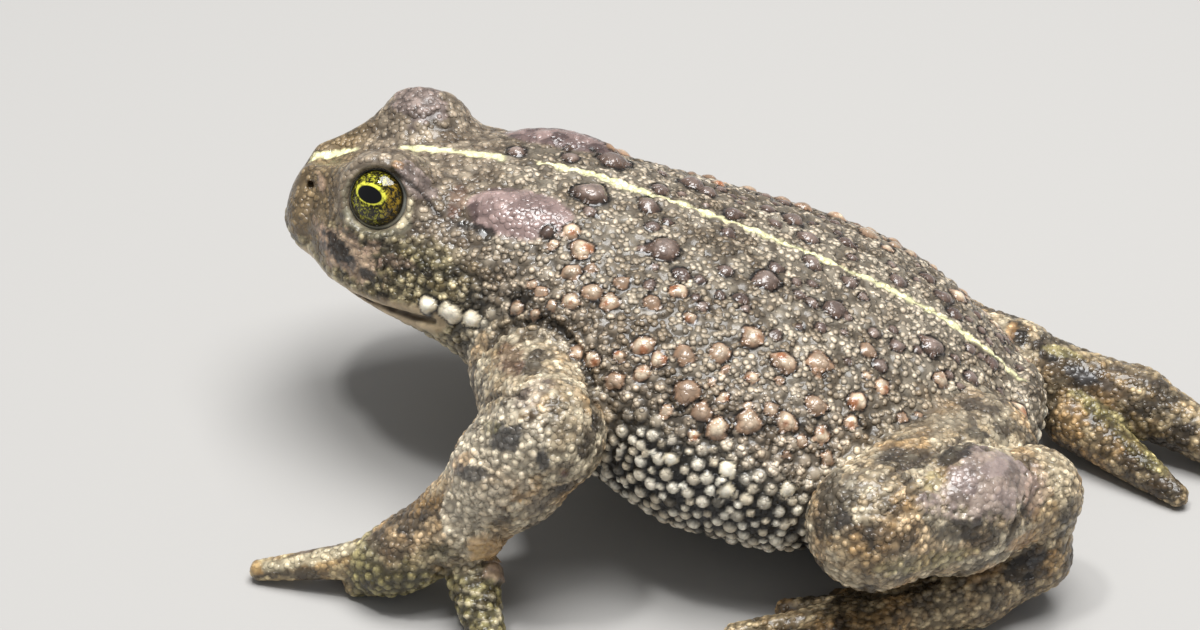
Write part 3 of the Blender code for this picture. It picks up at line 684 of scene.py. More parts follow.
def zone_shares(p):
    """How much each zone of skin counts at each vertex."""
    near = {
        "trunk": trunk(p),
        "limb": np.minimum.reduce(
            [form(p, arm) for arm in (LEFT_ARM, RIGHT_ARM) for form in (upper_arm, forearm)]
            + [form(p, leg) for leg in (LEFT_LEG, RIGHT_LEG) for form in (thigh, shank)]
        ),
        "palm": np.minimum(hand(p, LEFT_ARM), hand(p, RIGHT_ARM)),
        "sole": np.minimum(foot(p, LEFT_LEG), foot(p, RIGHT_LEG)),
    }
    closest = np.minimum.reduce(list(near.values()))
    owned = blend_by({name: np.exp(-(d - closest) / ZONE_BLEND) for name, d in near.items()})
    x, angle = p[:, 0], girth_angle(p)
    up = STRIPE_ANGLE - np.abs(angle - STRIPE_ANGLE)
    wandered = up + ZONE_WANDER * noise(p, 3.0, 1)
    high = ramp(wandered, *BACK_FROM)
    mid = ramp(wandered, *UPPER_FLANK_FROM) * (1 - high)
    low = ramp(wandered, *LOWER_FLANK_FROM) * (1 - high - mid)
    fore, tip = ramp(-x, *HEAD_FROM), ramp(-x, *SNOUT_FROM)
    crown, under_jaw = ramp(up, *CROWN_FROM), ramp(-up, *THROAT_BELOW)
    face = fore * (1 - under_jaw)
    trunk_zones = blend_by({
        "back": high * (1 - fore),
        "upper_flank": mid * (1 - fore),
        "lower_flank": low * (1 - fore),
        "belly": (1 - high - mid - low) * (1 - fore),
        "head": face * (1 - tip) * crown,
        "neck": face * (1 - tip) * (1 - crown),
        "snout": face * tip,
        "throat": fore * under_jaw,
    })
    shares = {name: owned["trunk"] * share for name, share in trunk_zones.items()}
    reach = np.where(p[:, 1] < 0, *PALM_TOPS)
    sole = ramp(-p[:, 2], -reach, PALM_EDGE - reach)
    finger = ramp(-x, *FINGERS_FROM)
    shares["limb"] = owned["limb"] + owned["palm"] * (1 - finger) * (1 - sole)
    shares["palm"] = owned["palm"] * (1 - finger) * sole
    shares["digit"] = owned["palm"] * finger
    shares["sole"] = owned["sole"]
    return shares


def shares_of(shares, *names):
    return sum(shares[name] for name in names)


def zone_value(shares, entry):
    """One of the zones' values, or a colour, blended at each vertex."""
    if entry <= GAP_COLOUR_AND_SHADE:
        return sum(share[:, None] * srgb(*ZONES[name][entry]) for name, share in shares.items())
    return sum(share * ZONES[name][entry] for name, share in shares.items())


# Warts: x in millimetres, angle in degrees up from the widest line, and radius
BACK_WARTS = [
    (-15.4, 97, 0.83), (-10.9, 102, 0.75), (-7.9, 85, 1.4), (-8.3, 68, 0.75),
    (-7.1, 63, 1.0), (-3.4, 91, 0.98), (-3.1, 101, 0.83), (-1.0, 77, 1.25),
    (1.1, 67, 0.75), (-0.7, 59, 0.8), (0.3, 112, 0.8), (3.0, 103, 0.9),
    (3.3, 93, 0.75), (7.3, 82, 1.1), (9.3, 105, 0.85), (10.2, 94, 0.85),
    (12.9, 81, 0.95), (13.5, 92, 0.75), (17.0, 103, 0.75), (16.2, 70, 0.7),
    (18.2, 75, 0.7), (20.7, 80, 1.05), (21.8, 104, 0.75), (24.1, 73, 0.75),
    (21.9, 66, 0.75), (17.8, 58, 0.7), (10.3, 58, 1.0), (12.9, 61, 0.95),
    (7.6, 62, 1.0), (5.5, 54, 0.8), (2.9, 49, 0.8),
]
FLANK_WARTS = [
    (-7.4, 54, 0.75), (-5.3, 52, 0.8), (-3.9, 52, 0.75), (-0.5, 45, 0.8),
    (1.0, 44, 0.7), (3.7, 39, 1.0), (5.0, 34, 0.75), (6.3, 31, 0.85),
    (8.7, 36, 0.95), (11.4, 40, 0.85), (13.3, 47, 0.85), (16.2, 51, 0.85),
]
LOW_WARTS = [(7.6, 18, 0.65), (7.7, 10, 0.65), (12.3, 16, 0.6), (3.2, 15, 0.6)]
CORNER_TUBERCLES = [(-19.0, 7, 0.8), (-17.2, 9, 0.9), (-15.2, 12, 0.8)]
RUMP_WART = (28.2, 58, 0.85)
GLOSSY_BROWN, CREAM_TIPPED, CREAM = 0, 1, 2
GLOSSY_ABOVE = 71

# How the right side's warts are shuffled, and which lie too near the stripe to be repeated
SHUFFLE_X, SHUFFLE_ANGLE, SHUFFLE_SIZE = 1.0, 3, (0.8, 1.1)
NEAR_STRIPE = 10

# Small warts: how many are tried, where, how large, and how near the stripe they are glossy
SMALL_WARTS = 280
SMALL_X, SMALL_TURN, SMALL_RADII = (-13, 28), (6, 70), (0.35, 0.72)
SMALL_GLOSSY = 35


def wart_sites():
    """Places, radii and kinds of the warts.

    The left side has the photo's, the right side the same rows, shuffled a little, and
    small ones lie between."""
    rng = np.random.default_rng(SEED)
    sites = []
    pale = LOW_WARTS + CORNER_TUBERCLES
    rows = ((BACK_WARTS, GLOSSY_BROWN), (FLANK_WARTS, CREAM_TIPPED), (pale, CREAM))
    for (x, angle, radius), kind in [(wart, kind) for warts, kind in rows for wart in warts]:
        if kind == GLOSSY_BROWN and angle < GLOSSY_ABOVE:
            kind = CREAM_TIPPED
        sites.append((trunk_point(x, angle), radius, kind))
        if angle < STRIPE_ANGLE - NEAR_STRIPE:
            shifted = x + rng.uniform(-SHUFFLE_X, SHUFFLE_X)
            opposite = 2 * STRIPE_ANGLE - angle + rng.uniform(-SHUFFLE_ANGLE, SHUFFLE_ANGLE)
            size = radius * rng.uniform(*SHUFFLE_SIZE)
            sites.append((trunk_point(shifted, opposite), size, kind))
    sites.append((trunk_point(*RUMP_WART[:2]), RUMP_WART[2], CREAM_TIPPED))
    for _ in range(SMALL_WARTS):
        x = rng.uniform(*SMALL_X)
        angle = STRIPE_ANGLE + rng.choice((-1, 1)) * rng.uniform(*SMALL_TURN)
        place, radius = trunk_point(x, angle), rng.uniform(*SMALL_RADII)
        if all(np.linalg.norm(place - other) > radius + size for other, size, _ in sites):
            kind = GLOSSY_BROWN if abs(angle - STRIPE_ANGLE) < SMALL_GLOSSY else CREAM_TIPPED
            sites.append((place, radius, kind))
    return sites


# Granules
SPACING_SPREAD = 0.35


def tree_of(points):
    tree = kdtree.KDTree(len(points))
    for number, point in enumerate(points.tolist()):
        tree.insert(point, number)
    tree.balance()
    return tree


def granule_centres(points, spacing, rng):
    """Vertices picked at random, none nearer to another than its own spacing."""
    tree = tree_of(points)
    alive = bytearray(b"\x01" * len(points))
    places, reach = points.tolist(), spacing.tolist()
    picked = []
    for number in rng.permutation(len(points)).tolist():
        if alive[number]:
            picked.append(number)
            for _, other, _ in tree.find_range(places[number], reach[number]):
                alive[other] = 0
    return np.array(picked)


def nearest_granule(points, centres, radii):
    """Each vertex's granule, and its distance from the middle in parts of the radius."""
    tree = tree_of(centres)
    size = radii.tolist()
    owner, share = np.zeros(len(points), int), np.zeros(len(points))
    for number, point in enumerate(points.tolist()):
        best = min((distance / size[other], other) for _, other, distance in tree.find_n(point, 3))
        share[number], owner[number] = best
    return owner, share


def raised_granules(points, shares, rng):
    """Heights of the granules, each vertex's distance in parts of its granule's radius, and
    the vertex in the middle of its granule."""
    usual = zone_value(shares, SPACING)
    spacing = usual * (1 + SPACING_SPREAD * rng.uniform(-1, 1, len(points)))
    picked = granule_centres(points, spacing, rng)
    radii = (zone_value(shares, EDGE) * spacing)[picked]
    owner, share = nearest_granule(points, points[picked], radii)
    dome = np.sqrt(np.clip(1 - share**2, 0, 1))
    seat = picked[owner]
    return zone_value(shares, HEIGHT) * dome * (spacing / usual)[seat], share, seat


# Shape of a wart, in parts of its radius: its rise, how far it smooths the skin round it,
# how far its spot lies from its middle, and how uneven its outline is
WART_RISE = 0.58
WART_SKIRT = 1.35
WART_CALMS = (0.85, 1.15)
SPOT_OFFSET = 0.5
WART_UNEVEN, UNEVEN_SIZE = 0.34, 0.8
FAR = 9.0


def raised_warts(points, sites, heights, rng):
    """Adds the warts to the heights, and gives each vertex's wart kind, its distance in parts
    of the wart's radius, its distance from the wart's spot, and the wart's own tone."""
    tree = tree_of(points)
    kind = np.full(len(points), -1)
    share, spot = np.full(len(points), FAR), np.full(len(points), FAR)
    tone = np.zeros(len(points))
    for place, radius, wart_kind in sites:
        height = WART_RISE * radius
        curve = (radius**2 + height**2) / (2 * height)
        found = tree.find_range(place, WART_SKIRT * radius)
        spots = np.array([number for _, number, _ in found], int)
        away, shade = rng.normal(size=3), rng.random()
        if not len(spots):
            continue
        centre = np.array(place) + SPOT_OFFSET * radius * away / np.linalg.norm(away)
        distance = np.array([reach for _, _, reach in found])
        distance = distance * (1 + WART_UNEVEN * noise(points[spots], UNEVEN_SIZE * radius, 21))
        cap = np.sqrt(np.clip(curve**2 - distance**2, 0, None)) - (curve - height)
        part = distance / radius
        heights[spots] = heights[spots] * ramp(part, *WART_CALMS) + np.maximum(cap, 0)
        closer = part < share[spots]
        kind[spots[closer]] = wart_kind
        share[spots[closer]] = part[closer]
        spot[spots[closer]] = length(points[spots[closer]] - centre) / radius
        tone[spots[closer]] = shade
    return kind, share, spot, tone


# Colours of a wart: its tip at its palest and darkest, its side and the dark ring round its foot,
# dark skin with painted shade in the crease there
WART_COLOURS = {
    GLOSSY_BROWN: (srgb(146, 128, 118), srgb(92, 76, 70), srgb(90, 70, 58), srgb(30, 24, 18)),
    CREAM_TIPPED: (srgb(232, 214, 186), srgb(142, 116, 96), srgb(156, 124, 98), srgb(24, 18, 12)),
    CREAM: (srgb(255, 248, 230), srgb(244, 234, 212), srgb(222, 208, 178), srgb(30, 24, 17)),
}
WART_SPOT = srgb(148, 82, 38)
SPOTTED_SHARE, SPOT_COVER, SPOT_EDGE = 0.55, 0.85, (-0.6, -0.3)
TIP_EDGE, RING_EDGE, RING_FADES = (0.4, 0.9), (0.88, 1.04), (1.12, WART_SKIRT)
WART_TONES = (0.3, 0.4, 23)


def mix(a, b, share):
    share = np.asarray(share)[:, None]
    return a * (1 - share) + b * share


def wart_colours(p, paint, kind, share, spot, tone):
    """Paints each wart's tip, its sides, the dark ring round its foot with painted shade, and the
    russet spot.
    """
    for name, (pale_tip, dark_tip, side, foot_dark_and_shade) in WART_COLOURS.items():
        mine = kind == name
        part, shade = share[mine], tone[mine]
        colour = mix(mix(pale_tip, dark_tip, shade), side, ramp(part, *TIP_EDGE))
        colour = colour * (1 + uneven(p[mine], *WART_TONES)[:, None])
        if name == CREAM_TIPPED:
            spotted = SPOT_COVER * (shade < SPOTTED_SHARE) * ramp(-spot[mine], *SPOT_EDGE)
            colour = mix(colour, WART_SPOT, spotted)
        # Dark ring round the foot: dark skin and painted shade in the crease
        colour = mix(colour, foot_dark_and_shade, ramp(part, *RING_EDGE))
        paint[mine] = mix(paint[mine], colour, 1 - ramp(part, *RING_FADES))
    return paint


# Stripe down the middle of the back
STRIPE_COLOUR = srgb(255, 250, 196)
STRIPE_HALF_WIDTH, STRIPE_EDGE = 0.33, 0.12
STRIPE_START, STRIPE_END = (-33.6, -32.8), (28.0, 29.0)
STRIPE_WANDER, WANDERS_FROM = 0.35, (-30, -20)
SNOUT_SHIFT, SHIFTED_FROM = 0.7, (27, 30)
STRIPE_RAGGED, STRIPE_TAPER, TAPERS_FROM = 0.45, 0.6, (22, 29)

# Where the photo shows it broken, in its pixels across
STRIPE_GAPS = [(358, 400), (505, 538)]
GAP_EDGE = 3


def stripe_cover(p, across):
    """Where the pale stripe lies, with ragged edges and the photo's two gaps."""
    x, y, z = p.T
    middle_y = STRIPE_WANDER * noise(p, 6.0, 11) * ramp(x, *WANDERS_FROM)
    middle_y += SNOUT_SHIFT * ramp(-x, *SHIFTED_FROM)
    width = STRIPE_HALF_WIDTH * (1 + STRIPE_RAGGED * noise(p, 0.9, 12))
    width *= 1 - STRIPE_TAPER * ramp(x, *TAPERS_FROM)
    cover = 1 - ramp(np.abs(y - middle_y), width - STRIPE_EDGE, width + STRIPE_EDGE)
    cover *= ramp(x, *STRIPE_START) * (1 - ramp(x, *STRIPE_END)) * (z > WIDEST(on_stations(x)))
    for start, end in STRIPE_GAPS:
        from_start = ramp(across, start - GAP_EDGE, start + GAP_EDGE)
        cover *= 1 - from_start * ramp(-across, -end - GAP_EDGE, -end + GAP_EDGE)
    return cover


# Patches in the photo: middle and half size in its pixels, tilt in degrees, colour, how fully
# it covers, and where they aren't 0 how much it smooths the granules away and how far it
# stands out in millimetres
NEAR_BLACK = srgb(26, 22, 19)
BLUE_GREY = srgb(66, 66, 68)
GREY_BROWN = srgb(84, 74, 66)
ROSY = srgb(196, 164, 142)
LILAC = srgb(154, 136, 131)
MAUVE = srgb(142, 126, 124)
CHESTNUT = srgb(104, 70, 56)
ORANGE = srgb(206, 156, 98)
GOLDEN = srgb(186, 146, 88)
PALE_YELLOW = srgb(206, 192, 130)
OLIVE = srgb(104, 96, 54)
LID_GREY = srgb(156, 152, 130)
CREAM_SKIN = srgb(226, 212, 178)
# Painted light for the forearm
PAINTED_ARM_LIGHT = srgb(255, 240, 212)
PATCHES = [
    # Painted light: lightens the forearm, which faces down, away from the lamps
    (478, 474, 92, 50, -48, PAINTED_ARM_LIGHT, 0.62),
    (350, 256, 44, 20, 40, ROSY, 0.7, 0.5),
    (466, 226, 11, 5, 10, NEAR_BLACK, 0.9, 0.3),
    (425, 252, 34, 16, 15, OLIVE, 0.4),
    (395, 225, 18, 9, 20, LID_GREY, 0.25, 0.4),
    (485, 232, 13, 7, 20, NEAR_BLACK, 0.9, 0.3),
    (452, 216, 9, 7, 60, GREY_BROWN, 0.7, 0.3),
    (339, 248, 21, 11, 50, NEAR_BLACK, 0.95, 0.15),
    (352, 262, 9, 6, 60, BLUE_GREY, 0.8, 0.4),
    (369, 275, 14, 7, 40, NEAR_BLACK, 0.9, 0.15),
    (322, 246, 7, 4, 50, GREY_BROWN, 0.8, 0.4),
    (312, 232, 5, 4, 50, GREY_BROWN, 0.7, 0.4),
    (372, 248, 9, 8, 0, ROSY, 0.6, 0.5),
    (398, 262, 20, 8, 20, ROSY, 0.3, 0.2),
    (414, 182, 26, 11, 42, MAUVE, 0.65, 0.4, 0.1),
    (397, 165, 6, 4, 20, ORANGE, 0.5, 0.4, 0.12),
    (459, 200, 9, 20, 20, CHESTNUT, 0.6, 0.4),
    (421, 104, 30, 22, 0, LILAC, 0.75),
    (322, 184, 5, 12, -10, ROSY, 0.5, 0.6, 0.12),
    (312, 222, 16, 16, 0, GREY_BROWN, 0.25, 0.5),
    (965, 408, 66, 24, -18, GREY_BROWN, 0.45, 0.1),
    (985, 484, 56, 38, -12, LILAC, 0.78, 0.6, 0.3),
    (1034, 492, 14, 26, 5, ROSY, 0.4, 0.3),
    (856, 558, 34, 15, 35, GOLDEN, 0.45),
    (1044, 520, 12, 22, 15, GOLDEN, 0.45, 0.1),
    (972, 468, 10, 8, 20, GREY_BROWN, 0.45, 0.6),
    (1003, 498, 12, 9, 0, MAUVE, 0.5, 0.6),
    (996, 470, 16, 10, -20, MAUVE, 0.6, 0.8),
    (958, 497, 15, 7, 25, GREY_BROWN, 0.55, 0.5),
    (990, 512, 17, 6, -20, GREY_BROWN, 0.5, 0.5),
    (1010, 476, 7, 14, -10, GREY_BROWN, 0.55, 0.5),
    (853, 482, 11, 8, 30, BLUE_GREY, 0.6, 0.2),
    (842, 520, 9, 12, 10, BLUE_GREY, 0.6, 0.2),
    (886, 452, 14, 7, -20, BLUE_GREY, 0.55, 0.2),
    (951, 458, 19, 10, -25, NEAR_BLACK, 0.9, 0.5),
    (963, 531, 27, 13, -8, NEAR_BLACK, 0.8, 0.4),
    (934, 481, 13, 10, -50, PALE_YELLOW, 0.4, 0.3),
    (925, 562, 50, 9, -12, PALE_YELLOW, 0.4),
    (880, 530, 12, 9, 30, GREY_BROWN, 0.6, 0.1),
    (912, 560, 10, 7, 0, GREY_BROWN, 0.5, 0.1),
    (1028, 566, 27, 18, -30, NEAR_BLACK, 0.9, 0.3),
    (1034, 562, 12, 7, -30, BLUE_GREY, 0.7, 0.4),
    (1022, 541, 16, 7, -35, ORANGE, 0.6, 0.3),
    (985, 574, 20, 7, -25, ORANGE, 0.4, 0.2),
    (1078, 374, 32, 17, 20, NEAR_BLACK, 0.8, 0.4),
    (1082, 374, 17, 8, 20, BLUE_GREY, 0.8, 0.4),
    (1062, 352, 24, 5, 15, PALE_YELLOW, 0.5, 0.2),
    (1020, 334, 8, 13, 10, NEAR_BLACK, 0.8, 0.3),
    (1012, 330, 5, 9, 10, ORANGE, 0.6, 0.2),
    (1130, 372, 30, 9, 20, GREY_BROWN, 0.5, 0.2),
    (1090, 405, 26, 7, 35, PALE_YELLOW, 0.4),
    (1120, 395, 20, 8, 30, GREY_BROWN, 0.6, 0.2),
    (506, 438, 21, 15, -30, BLUE_GREY, 0.9, 0.2),
    (491, 428, 9, 8, 0, OLIVE, 0.6, 0.1),
    (510, 362, 15, 19, 10, CHESTNUT, 0.55, 0.1),
    (543, 460, 7, 11, 0, BLUE_GREY, 0.9, 0.1),
    (564, 473, 4, 4, 0, CHESTNUT, 0.9, 0.2),
    (538, 505, 14, 8, -30, GREY_BROWN, 0.6, 0.1),
    (462, 462, 14, 8, -40, ORANGE, 0.5, 0.1),
    (434, 492, 30, 13, -42, GOLDEN, 0.4, 0.1),
    (536, 392, 22, 12, -30, LILAC, 0.35, 0.1),
    (472, 474, 19, 9, 10, BLUE_GREY, 0.85, 0.2),
    (482, 545, 17, 14, -30, GOLDEN, 0.7, 0.6, 0.5),
    (492, 571, 11, 15, 15, ROSY, 0.65, 0.6, 0.5),
    (305, 548, 9, 7, -20, CHESTNUT, 0.45, 0.4),
    (258, 568, 8, 7, 0, GOLDEN, 0.6, 0.5),
    (425, 560, 30, 14, -20, OLIVE, 0.5),
]

# Where a mark's edge starts and ends to fade, in parts of its size, how far behind its nearer
# part it still shows, in millimetres, what frays it, and what share of its points counts as
# nearer
PATCH_EDGE, PATCH_DEPTH, PATCH_FRAYS = (0.8, 1.05), 4.0, ((0.3, 0.8, 31), (0.25, 0.3, 32))
STROKE_EDGE, STROKE_DEPTH, STROKE_FRAY = (0.6, 1.1), 3.0, (0.35, 0.7, 33)
NEARER_PERCENT = 20

# Strokes in the photo: points and half width in its pixels, colour, how fully it covers and
# how far it stands out, below 0 for a groove
STROKES = [
    ([(392, 170), (405, 180), (418, 190), (430, 203), (440, 216)], 2.5, NEAR_BLACK, 0.8, -0.16),
    ([(388, 162), (403, 167), (418, 176), (432, 188)], 2, GREY_BROWN, 0.6, -0.1),
    # Painted shade under the edge of the upper lid
    ([(352, 172), (362, 163), (376, 160), (390, 167)], 2.5, GREY_BROWN, 0.5, -0.05),
    ([(347, 212), (354, 224), (366, 232), (381, 235), (396, 232), (407, 223)], 5, LID_GREY,
     0.6, 0.05),
    ([(348, 214), (345, 203), (345, 192), (349, 181)], 3, LID_GREY, 0.45, 0),
    ([(399, 227), (408, 216), (411, 202)], 4, CREAM_SKIN, 0.95, 0),
    ([(350, 238), (368, 245), (388, 246), (406, 239), (420, 226)], 2, GREY_BROWN, 0.5, -0.1),
    # Painted shade in the fold between the arm and the flank, over a groove
    ([(487, 347), (501, 332), (518, 324), (536, 321), (554, 325), (571, 339), (582, 357),
      (589, 378), (593, 396), (596, 424)], 5, NEAR_BLACK, 0.75, -0.35),
    # Painted shade in the elbow's crease, over a groove
    ([(490, 400), (500, 395), (512, 395), (526, 399)], 2.5, GREY_BROWN, 0.7, -0.25),
    # Painted shade in the groove between the thigh and the shank
    ([(962, 440), (940, 449), (915, 462), (880, 480)], 3, GREY_BROWN, 0.7, -0.25),
    ([(942, 463), (915, 478), (890, 494), (870, 504)], 2, GREY_BROWN, 0.5, -0.15),
    ([(930, 482), (908, 497), (886, 512)], 2, GREY_BROWN, 0.5, -0.15),
    # Painted shade in the gap along the lower edge of the leg
    ([(846, 594), (872, 598), (905, 592), (940, 581), (980, 567), (1004, 553)], 3, NEAR_BLACK,
     0.7, -0.1),
    ([(905, 450), (880, 464), (858, 474)], 2, GREY_BROWN, 0.5, -0.12),
    ([(1031, 462), (1033, 484), (1026, 507), (1010, 528)], 3, GREY_BROWN, 0.5, -0.15),
    ([(352, 548), (322, 556), (296, 562), (268, 568)], 7, CREAM_SKIN, 0.8, 0.05),
    ([(1088, 408), (1118, 430), (1150, 464)], 8, OLIVE, 0.7, 0),
    ([(1072, 392), (1108, 410), (1142, 440), (1164, 474)], 5, PALE_YELLOW, 0.55, 0.08),
    ([(505, 600), (498, 615), (494, 630)], 4, CREAM_SKIN, 0.6, 0.05),
    ([(357, 574), (370, 577), (383, 583)], 4, PALE_YELLOW, 0.7, 0.05),
]

# Three pale folds across the near finger
FOLD_START, FOLD_END, FOLD_STEP = (462, 590), (492, 598), (-2, 12)
for fold in range(3):
    ends = [(x + fold * FOLD_STEP[0], y + fold * FOLD_STEP[1]) for x, y in (FOLD_START, FOLD_END)]
    STROKES.append((ends, 2, CREAM_SKIN, 0.6, 0.08))


def nearer_part(depth, sample, reach):
    """Which points lie about as far from the camera as the nearer ones of a sample."""
    return np.abs(depth - np.percentile(depth[sample], NEARER_PERCENT)) < reach


def patch_marks(p, pixels, facing):
    """Each patch's cover, colour, strength, smoothing and lift, where the photo shows it."""
    across, down, depth = pixels
    ragged = sum(uneven(p, *fray) for fray in PATCH_FRAYS)
    for column, row, long, short, tilt, colour, strength, *rest in PATCHES:
        calm, lift, *_ = (*rest, 0, 0)
        turn = math.radians(tilt)
        right, below = across - column, down - row
        along = (right * math.cos(turn) + below * math.sin(turn)) / long
        beside = (below * math.cos(turn) - right * math.sin(turn)) / short
        reach = np.sqrt(along**2 + beside**2)
        central = facing & (reach < 0.5)
        if central.any():
            cover = (1 - ramp(reach + ragged, *PATCH_EDGE)) * facing
            yield cover * nearer_part(depth, central, PATCH_DEPTH), colour, strength, calm, lift


def stroke_marks(p, pixels, facing):
    """The same for each stroke, with nothing smoothed."""
    across, down, depth = pixels
    ragged = uneven(p, *STROKE_FRAY)
    for spots, half_width, colour, strength, lift in STROKES:
        cover = np.zeros(len(p))
        for (column, row), (next_column, next_row) in zip(spots, spots[1:]):
            run, fall = next_column - column, next_row - row
            right, below = across - column, down - row
            along = np.clip((right * run + below * fall) / (run**2 + fall**2), 0, 1)
            beside = np.hypot(right - along * run, below - along * fall) / half_width
            near = facing & (beside < 1)
            if near.any():
                here = (1 - ramp(beside + ragged, *STROKE_EDGE)) * facing
                cover = np.maximum(cover, here * nearer_part(depth, near, STROKE_DEPTH))
        yield cover, colour, strength, 0, lift


def photo_marks(p, normals, pixels):
    facing = normals @ camera_axes()[2] > 0
    return list(patch_marks(p, pixels, facing)) + list(stroke_marks(p, pixels, facing))


# Colours of the limbs' and flanks' blotches, of the glands behind the eyes and of the mouth
BLOTCH, LIMB_TINGE, GROUND = srgb(62, 56, 50), srgb(200, 152, 90), srgb(34, 28, 20)
GLAND_PALE, GLAND_DARK = srgb(166, 142, 136), srgb(90, 73, 70)
LIP_COLOUR, MOUTH_DARK = srgb(206, 180, 146), srgb(40, 28, 20)

# Blotches: zones, colour, how fully they cover, their size in millimetres, the noise's own
# number, and the noise values from which they show and show fully
LIMB_ZONES = ("limb", "sole", "digit")
FLANK_ZONES = ("upper_flank", "lower_flank", "neck")
BLOTCHES = [
    (LIMB_ZONES, LIMB_TINGE, 0.5, 2.6, 41, (0.0, 0.45)),
    (LIMB_ZONES, BLOTCH, 0.8, 2.0, 43, (0.24, 0.42)),
    (LIMB_ZONES, BLOTCH, 0.7, 0.9, 49, (0.3, 0.5)),
    (FLANK_ZONES, GROUND, 0.85, 1.6, 45, (0.3, 0.5)),
]

# How far lips, lids, glands and the floor's flats reach into the skin round them, in
# millimetres
LIP_WIDTH, LIP_EDGE, LIP_FADE = 1.5, 0.5, 0.2
MOUTH_EDGE, MOUTH_FRAY = (0.22, 0.48), (0.15, 0.7, 47)
LID_EDGE = (EYE_RADIUS + 0.5, EYE_RADIUS + 1.3)
SOCKET_EDGE = (SOCKET_RADIUS + 0.1, SOCKET_RADIUS + 0.7)
GLAND_EDGE, GLAND_FRAY = (0.1, 0.45), (0.12, 1.2, 51)
FLOOR_EDGE = (0.05, 0.6)

# How uneven the tones are: the granules', those in marks, the lips' darkest and how much
# their palest adds, and how far the gaps' painted shade darkens the stripe
TONE_SPREAD, TONE_DRIFT = 1.1, (0.35, 3.5, 3)
MARK_TONES, LIP_TONES, STRIPE_TONES = 0.6, (0.85, 0.3), 0.2

# How fully lips and mouth cover, and where the gap between granules starts and ends, in parts
# of a granule's radius
LIPS_SHOW, MOUTH_SHOWS = 0.7, 0.9
CREASE_EDGE = (0.6, 1.05)


def skin_paint(p, shares, granules, marks, rough, gland, stripe):
    """Colour of each vertex, from its zone, its granule and the markings, with dark skin and
    painted shade between the granules.
    """
    share, seat, chance = granules
    tone = 0.5 + TONE_SPREAD * (chance - 0.5) + uneven(p, *TONE_DRIFT)[seat]
    tone = np.clip(tone, 0, 1)
    paint = mix(zone_value(shares, DARK)[seat], zone_value(shares, LIGHT)[seat], tone)
    for zones, colour, strength, size, number, edge in BLOTCHES:
        shown = shares_of(shares, *zones) * ramp(noise(p, size, number)[seat], *edge)
        paint = mix(paint, colour, strength * shown)
    paint = mix(paint, mix(GLAND_DARK, GLAND_PALE, tone), gland)
    for cover, colour, strength, calm, _ in marks:
        varied = colour * (1 + MARK_TONES * (1 - calm) * (chance[:, None] - 0.5))
        paint = mix(paint, varied, strength * cover)
    mouth = mouth_distance(p) + uneven(p, *MOUTH_FRAY)
    lips = 1 - ramp(mouth, LIP_WIDTH - LIP_EDGE, LIP_WIDTH)
    lip_colour = LIP_COLOUR * (LIP_TONES[0] + LIP_TONES[1] * chance[:, None])
    paint = mix(paint, lip_colour, LIPS_SHOW * lips)
    paint = mix(paint, MOUTH_DARK, MOUTH_SHOWS * (1 - ramp(mouth, *MOUTH_EDGE)))
    # Dark skin with painted shade in the gaps between granules
    gap_dark_and_shade = ramp(share, *CREASE_EDGE) * zone_value(shares, GAP_SHOWS) * rough
    paint = mix(paint, np.minimum(zone_value(shares, GAP_COLOUR_AND_SHADE), paint), gap_dark_and_shade)
    return mix(paint, STRIPE_COLOUR * (1 - STRIPE_TONES * gap_dark_and_shade[:, None]), stripe)


# Scene building
def placed(points):
    """Points in the scene's metres."""
    return (points - (*STANCE_MIDDLE, 0)) * MM


def add_object(name, data):
    made = bpy.data.objects.new(name, data)
    bpy.context.scene.collection.objects.link(made)
    return made


def mesh_object(name, points, quads):
    mesh = bpy.data.meshes.new(name)
    mesh.vertices.add(len(points))
    mesh.vertices.foreach_set("co", placed(points).astype(np.float32).ravel())
    mesh.loops.add(quads.size)
    mesh.loops.foreach_set("vertex_index", quads.astype(np.int32).ravel())
    mesh.polygons.add(len(quads))
    mesh.polygons.foreach_set("loop_start", np.arange(0, quads.size, 4, dtype=np.int32))
    mesh.update(calc_edges=True)
    mesh.shade_smooth()
    return add_object(name, mesh)


def set_colour(mesh, name, colours):
    layer = mesh.color_attributes.new(name, "FLOAT_COLOR", "POINT")
    rgba = np.concatenate([colours, np.ones((len(colours), 1))], 1)
    layer.data.foreach_set("color", rgba.astype(np.float32).ravel())


def set_number(mesh, name, values):
    layer = mesh.attributes.new(name, "FLOAT", "POINT")
    layer.data.foreach_set("value", np.asarray(values, np.float32))


